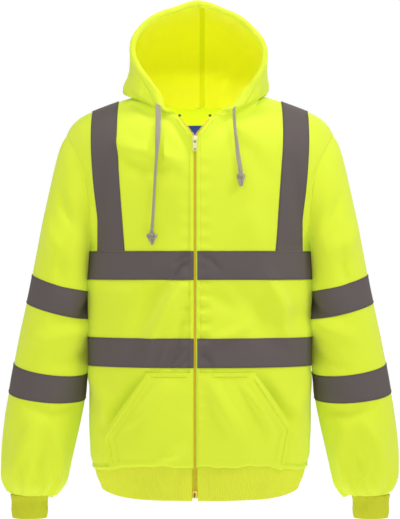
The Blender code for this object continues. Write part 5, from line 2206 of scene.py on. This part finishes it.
@dataclass
class Zip:
    """Open-end zip: woven tapes, two rows of teeth, stops, slider, pull and retainer box."""

    pitch: float = 0.0030
    neck_pitch: float = 0.62
    tooth: Triple = (0.0034, 0.0021, 0.0015)
    reach: float = 0.0009
    low: float = -0.6560
    high: float = -0.0170
    slider_span: Pair = (-0.0625, -0.0475)
    slider_at: Triple = (-0.0088, -0.1180, -0.0552)
    slider_tilt: float = -4.2
    slider_plates: tuple[Pair, Pair] = ((-0.0030, -0.0012), (0.0014, 0.0028))
    slider_neck: Triple = (0.0024, 0.0034, 0.0046)
    eye_drop: float = 0.0165
    eye_radius: float = 0.00125
    wall: BVHTree = field(init=False)

    def build(self) -> None:
        """Make the tapes, then what is fixed to them."""
        self.wall = surface_of([self.woven(side) for side in Side])
        for side in Side:
            self.teeth(side)
            self.stop(side)
        self.slider()
        self.bridge()
        self.pull_eye()
        self.box()
        dress(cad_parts["zip_pull"], BRASS)

    def woven(self, side: Side) -> Piece:
        """Woven tape of one side.

        Args:
            side: The tape.

        Returns:
            The piece.
        """
        node = f"zip_tape_{side.word}"
        mesh = refine(node, 2)
        set_metres(mesh, flat_chart)
        piece = add_piece(f"{node}_woven", mesh, ZIP_CLOTH, node)
        return piece

    def edge(self, side: Side, z: float) -> tuple[Vector, Vector, Vector]:
        """Place on the front of the tape's edge, with the directions along it and away from the middle.

        Args:
            side: The tape.
            z: Height.

        Returns:
            Place, unit direction upwards and unit direction across.
        """
        found = []
        for height in (z, z + 0.002):
            share = min(1.0, max(0.0, (height - NECK_BASE) / V_HEIGHT))
            x = ZIP_X + side.value * (0.0006 + V_SPREAD * share)
            start = Vector((x + side.value * 0.0006, -0.2, height))
            hit = self.wall.ray_cast(start, BACKWARD, 0.3)[0]
            found.append(Vector((x, hit.y if hit else -0.118, height)))
        along = (found[1] - found[0]).normalized()
        return found[0], along, square_to(ACROSS * side.value, along)

    def teeth(self, side: Side) -> None:
        """One row of teeth, meshing with the other below the slider.

        Args:
            side: The tape.
        """
        points: list[Vector] = []
        faces: Faces = []
        z = self.low + (self.pitch / 2 if side is Side.LEFT else 0.0)
        while z < self.high:
            if not self.slider_span[0] < z < self.slider_span[1]:
                place, along, across = self.edge(side, z)
                self.add_tooth(points, faces, place + FORWARD * 0.0006, across, along)
            z += self.pitch * (1.0 if z < NECK_BASE else self.neck_pitch)
        mesh = mesh_from("teeth", points, faces)
        add_piece(f"zip_teeth_{side.word}", mesh, ENAMEL, smooth=False)

    def add_tooth(self, points: list[Vector], faces: Faces, place: Vector, across: Vector,
                  along: Vector) -> None:
        """Add one rounded tooth whose head reaches over the middle line.

        Args:
            points: Points so far.
            faces: Faces so far.
            place: Middle of the tooth's root.
            across: Direction away from the middle line.
            along: Direction up the tape.
        """
        wide, deep, tall = self.tooth
        base = len(points)
        near, far = -self.reach, wide - self.reach
        middle = wide / 2 - self.reach
        for lift, shrink in ((-deep / 2, 0.85), (deep * 0.28, 1.0), (deep / 2, 0.62)):
            for a, b in ((near, -0.5), (far, -0.32), (far, 0.32), (near, 0.5)):
                spot = across * (middle + (a - middle) * shrink)
                points.append(place + spot + along * (b * tall * shrink * 1.25) + FORWARD * (lift + deep / 2))
        for row in (base, base + 4):
            for k in range(4):
                n = (k + 1) % 4
                faces.append((row + k, row + n, row + 4 + n, row + 4 + k))
        faces.append((base + 3, base + 2, base + 1, base))
        faces.append((base + 8, base + 9, base + 10, base + 11))

    def stop(self, side: Side) -> None:
        """Clamped top stop at the end of one row of teeth.

        Args:
            side: The tape.
        """
        half = 0.0022
        place, along, across = self.edge(side, self.high + half)
        path = [place - along * half + FORWARD * 0.0012, place + along * half + FORWARD * 0.0012]
        add_ribbon(f"zip_top_stop_{side.word}", path, across, lambda share: oval(0.0022, 0.0016, power=4.0),
                   DARK_METAL_AND_SHADE)

    def slider(self) -> None:
        """Slider: two shield-shaped plates on a neck."""
        body = bmesh.new()
        for low, high in self.slider_plates:
            lower = [body.verts.new((x, low, z)) for x, z in PLATE]
            upper = [body.verts.new((x, high, z)) for x, z in PLATE]
            body.faces.new(lower)
            body.faces.new(list(reversed(upper)))
            for k in range(len(PLATE)):
                n = (k + 1) % len(PLATE)
                body.faces.new((lower[n], lower[k], upper[k], upper[n]))
        neck = bmesh.ops.create_cube(body, size=1.0)["verts"]
        bmesh.ops.scale(body, vec=Vector(self.slider_neck), verts=neck)
        bmesh.ops.translate(body, vec=Vector((0.0, 0.0001, 0.0034)), verts=neck)
        bmesh.ops.bevel(body, geom=list(body.edges), offset=0.00032, segments=2, affect="EDGES",
                        clamp_overlap=True)
        bmesh.ops.rotate(body, cent=Vector((0.0, 0.0, 0.0)), verts=body.verts,
                         matrix=Matrix.Rotation(math.radians(self.slider_tilt), 3, "X"))
        bmesh.ops.translate(body, vec=Vector(self.slider_at), verts=body.verts)
        mesh = bpy.data.meshes.new("slider")
        body.to_mesh(mesh)
        body.free()
        add_piece("zip_slider_body", mesh, BRASS, "zip_slider")

    def bridge(self) -> None:
        """Wire bridge that holds the pull, and a dark strip of painted shade for the gap between the slider's
        plates below it.
        """
        path = []
        for step in range(25):
            turn = math.radians(-112 + 224 * step / 24)
            arch = Vector((0.0, -0.0030 * math.cos(turn) * 0.75, 0.0034 * math.sin(turn) + 0.0006))
            path.append(PULL_HINGE + arch)
        add_ribbon("zip_slider_bridge", path, ACROSS, lambda share: oval(0.0010, 0.0006), BRASS)
        # Painted shade: a dark strip where the gap under the bridge lies in shade.
        gap = [Vector((ZIP_X, -0.1215, -0.0572 - 0.0010 * step)) for step in range(5)]
        add_ribbon("zip_slider_gap_shade", gap, ACROSS, lambda share: oval(0.0019, 0.0003, power=4.0), DARK_METAL_AND_SHADE)

    def pull_eye(self) -> None:
        """Dark rolled ring round the hole at the foot of the pull, painted shade in the hole."""
        middle = PULL_HINGE + Vector((0.0, 0.0, -self.eye_drop))
        sides = []
        for step in range(25):
            turn = 2 * math.pi * step / 24
            sides.append(Vector((math.cos(turn), 0.0, math.sin(turn))))
        path = [middle + side * self.eye_radius for side in sides]
        # Painted shade: the ring is dark to stand for the shade in the pull's hole.
        add_ribbon("zip_pull_eye_shade", path, sides, lambda share: oval(0.0005, 0.0008, 10, 2.0), DARK_METAL_AND_SHADE,
                   body="zip_pull")

    def box(self) -> None:
        """Retainer box at the foot of the zip, with a dark strip of painted shade in the slot that takes the
        pin.
        """
        dress(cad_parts["zip_box"], ENAMEL)
        low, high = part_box("zip_box")
        x = ((low + high) / 2).x - 0.0006
        path = [Vector((x, low.y - 0.0001, low.z + 0.0014 + 0.0010 * step)) for step in range(8)]
        # Painted shade: a dark strip in the slot.
        add_ribbon("zip_box_slot_shade", path, ACROSS, lambda share: oval(0.0014, 0.0004, power=4.0), DARK_METAL_AND_SHADE)


@dataclass
class NeckLabel:
    """Bare satin label inside the back neck, sewn at its top edge."""

    lift: Triple = (0.0, -0.0020, 0.0036)

    def build(self) -> None:
        """Make the label from its solid."""
        mesh = refine("neck_label", 3)
        displace(mesh, torso_out, lambda points: np.minimum(body_relief(points), 0.0) - 0.0006)
        put_points(mesh, points_of(mesh) + np.array(self.lift))
        set_metres(mesh, flat_chart)
        piece = add_piece("neck_label_satin", mesh, LABEL_CLOTH, "neck_label")


# Sewing


def turns_of(points: Numbers, centre: Numbers, axis: Numbers) -> tuple[Numbers, Numbers]:
    """Angle round an axis and distance along it of many places.

    Args:
        points: The places.
        centre: A place on the axis.
        axis: Unit direction of the axis.

    Returns:
        Radians round, and metres along.
    """
    first = unit(np.cross(axis, (0.0, 1.0, 0.0))[None, :])[0]
    second = np.cross(axis, first)
    off = points - centre
    return np.arctan2(off @ second, off @ first), off @ axis


def band_edges(band: Piece, centre: Numbers, axis: Numbers) -> list[list[Vector]]:
    """Lines just inside both long edges of a band that runs round an axis.

    Args:
        band: The band.
        centre: A place on the axis.
        axis: Unit direction of the axis.

    Returns:
        Runs of places along the low edge, then along the high one.
    """
    bins = 72
    inset = 0.0022
    points = points_of(band.data)
    turn, along = turns_of(points, centre, axis)
    step = np.floor((turn + np.pi) / (2 * np.pi) * bins).astype(int) % bins
    low: list[list[Vector]] = [[]]
    high: list[list[Vector]] = [[]]
    for slot in range(bins + 1):
        here = np.nonzero(step == slot % bins)[0]
        if len(here) >= 4:
            low[-1].append(Vector(points[here[np.argmin(along[here])]] + axis * inset))
            high[-1].append(Vector(points[here[np.argmax(along[here])]] - axis * inset))
        elif low[-1]:
            low.append([])
            high.append([])
    return [run for run in low + high if len(run) > 2]


@dataclass
class Sewing:
    """Every visible row of stitches, gathered by region.

    A row of the armhole is its height and how far it stands off the middle.
    """

    torso: Torso
    sleeves: SleevePair
    hood: Hood
    needle: Seamstress = field(default_factory=Seamstress)
    armhole: tuple[Pair, ...] = (
        (-0.2191, 0.1930), (-0.1972, 0.1925), (-0.1696, 0.1923), (-0.1390, 0.1940),
        (-0.1084, 0.2005), (-0.0808, 0.2125), (-0.0589, 0.2245))
    armhole_deep: float = 0.078

    def build(self) -> None:
        """Sew the tapes, then the body, the pockets, the sleeves and the hood."""
        self.body_tapes()
        self.sleeve_tapes()
        self.body()
        self.pockets()
        self.armholes()
        self.rim()

    def body_tapes(self) -> None:
        """Rows along both edges of the tapes on the body."""
        host = surface_of(self.torso.bands)
        for band in self.torso.bands:
            over = band.name.startswith("shoulder")
            centre = np.array((0.0, 0.0, -0.25 if over else 0.0))
            axis = np.array((1.0, 0.0, 0.0) if over else (0.0, 0.0, 1.0))
            for run in band_edges(band, centre, axis):
                self.needle.row(run, host, torso_out, press=False)
        self.needle.finish("tape_stitches_body", "reflective_tape", GREY_THREAD)

    def sleeve_tapes(self) -> None:
        """Rows along both edges of the tapes on the sleeves."""
        for side in Side:
            for band in self.sleeves.bands[side]:
                points = points_of(band.data)
                centre = points.mean(axis=0)
                axis = np.linalg.eigh(np.cov((points - centre).T))[1][:, 0]
                host = surface_of([band])
                for run in band_edges(band, centre, axis if axis[2] > 0 else -axis):
                    self.needle.row(run, host, sleeve_out, press=False)
        self.needle.finish("tape_stitches_sleeves", "reflective_tape", GREY_THREAD)

    def body(self) -> None:
        """Rows beside the zip and above the hem seam."""
        for side in Side:
            self.needle.row(zip_edge(side, 0.0078), self.torso.wall, torso_out)
        for part in (Side.RIGHT, Side.LEFT, None):
            line = [(x, y, z + 0.0062) for x, y, z in self.torso.hem_seam(part)]
            self.needle.row(line, self.torso.wall, torso_out, press=False)
        self.needle.finish("body_stitches")

    def pockets(self) -> None:
        """Double rows at the opening and along the top of each pocket."""
        for side in Side:
            host = surface_of([self.torso.pockets[side]])
            for inset in (0.0150, 0.0182):
                self.needle.row(self.torso.opening(side, inset), host, torso_out)
            for drop in (0.0014, 0.0062):
                shares = np.linspace(0.020, 0.086, 12)
                top = [(side.value * share, FRONT_Y, -0.4560 - drop) for share in shares]
                self.needle.row(top, host, torso_out)
        self.needle.finish("pocket_stitches")

    def armholes(self) -> None:
        """Double row on the body beside each armhole."""
        for side in Side:
            for face in (-1, 1):
                for inset in (0.0030, 0.0080):
                    line = []
                    for index, (z, half) in enumerate(self.armhole, start=1):
                        deep = self.armhole_deep * math.sin(math.pi * index / (len(self.armhole) + 1))
                        line.append((side.value * (half - inset), face * deep, z + 0.3 * inset))
                    self.needle.row(line, self.torso.wall, torso_out, press=False)
        self.needle.finish("armhole_stitches")

    def rim(self) -> None:
        """Row that holds down the turned edge of the hood."""
        for side in Side:
            self.needle.row(self.hood.rim_line(side, 0.0155)[1:], self.hood.wall, hood_out, press=False)
        self.needle.finish("hood_stitches")


# Studio


WHITE = (1.0, 1.0, 1.0, 1.0)


@dataclass(frozen=True)
class Lamp:
    """Square soft light: where it stands, its side in metres, its watts, what it points at and its beam."""

    name: str
    place: Triple
    size: float
    power: float
    aim: Triple = (0.0, 0.0, -0.3)
    spread: float = 180.0

    def build(self) -> None:
        """Put up the light."""
        data = bpy.data.lights.new(self.name, "AREA")
        data.spread = math.radians(self.spread)
        data.size = self.size
        data.energy = self.power
        lamp = new_object(self.name, data)
        lamp.location = self.place
        lamp.rotation_euler = (Vector(self.aim) - Vector(self.place)).to_track_quat("-Z", "Y").to_euler()


@dataclass
class Studio:
    """Camera, pale floor and soft light."""

    distance: float = 3.5
    view_width: float = 0.708
    sensor: float = 36.0
    height: float = -0.2611
    floor_z: float = -1.45
    floor_half: float = 30.0
    floor_glow: float = 0.93
    air: float = 0.25
    lamps: tuple[Lamp, ...] = (
        Lamp("left", (-1.8, -1.2, 2.1), 1.0, 11.0), Lamp("right", (1.9, -1.1, 1.9), 0.7, 32.0),
        Lamp("front", (-0.4, -2.5, 1.6), 1.0, 10.0), Lamp("top", (0.1, -0.6, 2.3), 0.7, 17.0),
        Lamp("over_right", (-1.3, -0.35, 2.1), 0.8, 8.0), Lamp("over_left", (1.3, -0.35, 2.1), 0.8, 6.0),
        Lamp("low", (-0.2, -2.4, -1.2), 1.3, 5.0), Lamp("behind", (0.4, 3.0, 1.4), 2.2, 34.0),
        Lamp("hood", (0.05, -1.35, 0.70), 0.30, 0.06, (0.0, 0.10, 0.04), 12.0))

    def build(self) -> None:
        """Place the camera, the floor and the lights."""
        self.camera()
        self.floor()
        for lamp in self.lamps:
            lamp.build()
        self.sky()
        bpy.context.scene.view_settings.view_transform = "Standard"

    def sky(self) -> None:
        """White surroundings, a little dimmer as light than as backdrop."""
        world = bpy.data.worlds.new("studio_air")
        bpy.context.scene.world = world
        world.use_nodes = True
        tree = world.node_tree
        lit = tree.nodes["Background"]
        lit.inputs["Color"].default_value = WHITE
        lit.inputs["Strength"].default_value = self.air
        seen = add_node(tree, "ShaderNodeBackground", {"Color": WHITE, "Strength": 1.0})
        path = add_node(tree, "ShaderNodeLightPath")
        mix = add_node(tree, "ShaderNodeMixShader")
        join(tree, (path, "Is Camera Ray", mix, "Fac"), (lit, 0, mix, 1), (seen, 0, mix, 2),
             (mix, 0, tree.nodes["World Output"], "Surface"))

    def camera(self) -> None:
        """Level camera square to the front, as far off as the photograph's."""
        data = bpy.data.cameras.new("camera")
        data.sensor_fit = "HORIZONTAL"
        data.sensor_width = self.sensor
        data.lens = self.sensor * self.distance / self.view_width
        data.clip_end = 60.0
        camera = new_object("camera", data)
        camera.location = (0.0, -self.distance, self.height)
        camera.rotation_euler = (math.pi / 2, 0.0, 0.0)
        bpy.context.scene.camera = camera

    def floor(self) -> None:
        """Plain pale floor well below the hem."""
        half = self.floor_half
        corners = [(-half, -half, 0.0), (half, -half, 0.0), (half, half, 0.0), (-half, half, 0.0)]
        mesh = mesh_from("floor", corners, [(0, 1, 2, 3)])
        floor = new_object("floor", mesh)
        floor.location.z = self.floor_z
        pale, _ = new_material("pale_floor", {
            "Base Color": (0.30, 0.30, 0.30, 1.0), "Roughness": 0.9, "Emission Color": WHITE,
            "Emission Strength": self.floor_glow})
        mesh.materials.append(pale)


def dress_nodes() -> None:
    """Give every solid that still shows a finish of its own."""
    for name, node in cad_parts.items():
        if node.hide_render or name in ("zip_pull", "zip_box"):
            continue
        finish: Finish = FLEECE
        if "tape" in name:
            finish = ZIP_CLOTH if name.startswith("zip") else TAPE
        elif name.startswith(("cuff", "hem")):
            finish = RIB_KNIT
        elif name.startswith(("zip", "eyelet")):
            finish = BRASS
        elif name.startswith(("drawcord", "cord")):
            finish = CORD_CLOTH
        elif name == "neck_label":
            finish = LABEL_CLOTH
        dress(node, finish)


def main() -> None:
    """Build every sub-assembly in order, then the studio."""
    logging.basicConfig(level=logging.INFO, format="%(name)s %(message)s")
    torso = Torso()
    torso.build()
    HemBand().build()
    sleeves = SleevePair()
    sleeves.build()
    hood = Hood()
    hood.build()
    for cord in DRAWCORDS:
        cord.build()
    Zip().build()
    NeckLabel().build()
    Sewing(torso, sleeves, hood).build()
    dress_nodes()
    Studio().build()


if __name__ == "__main__":
    main()
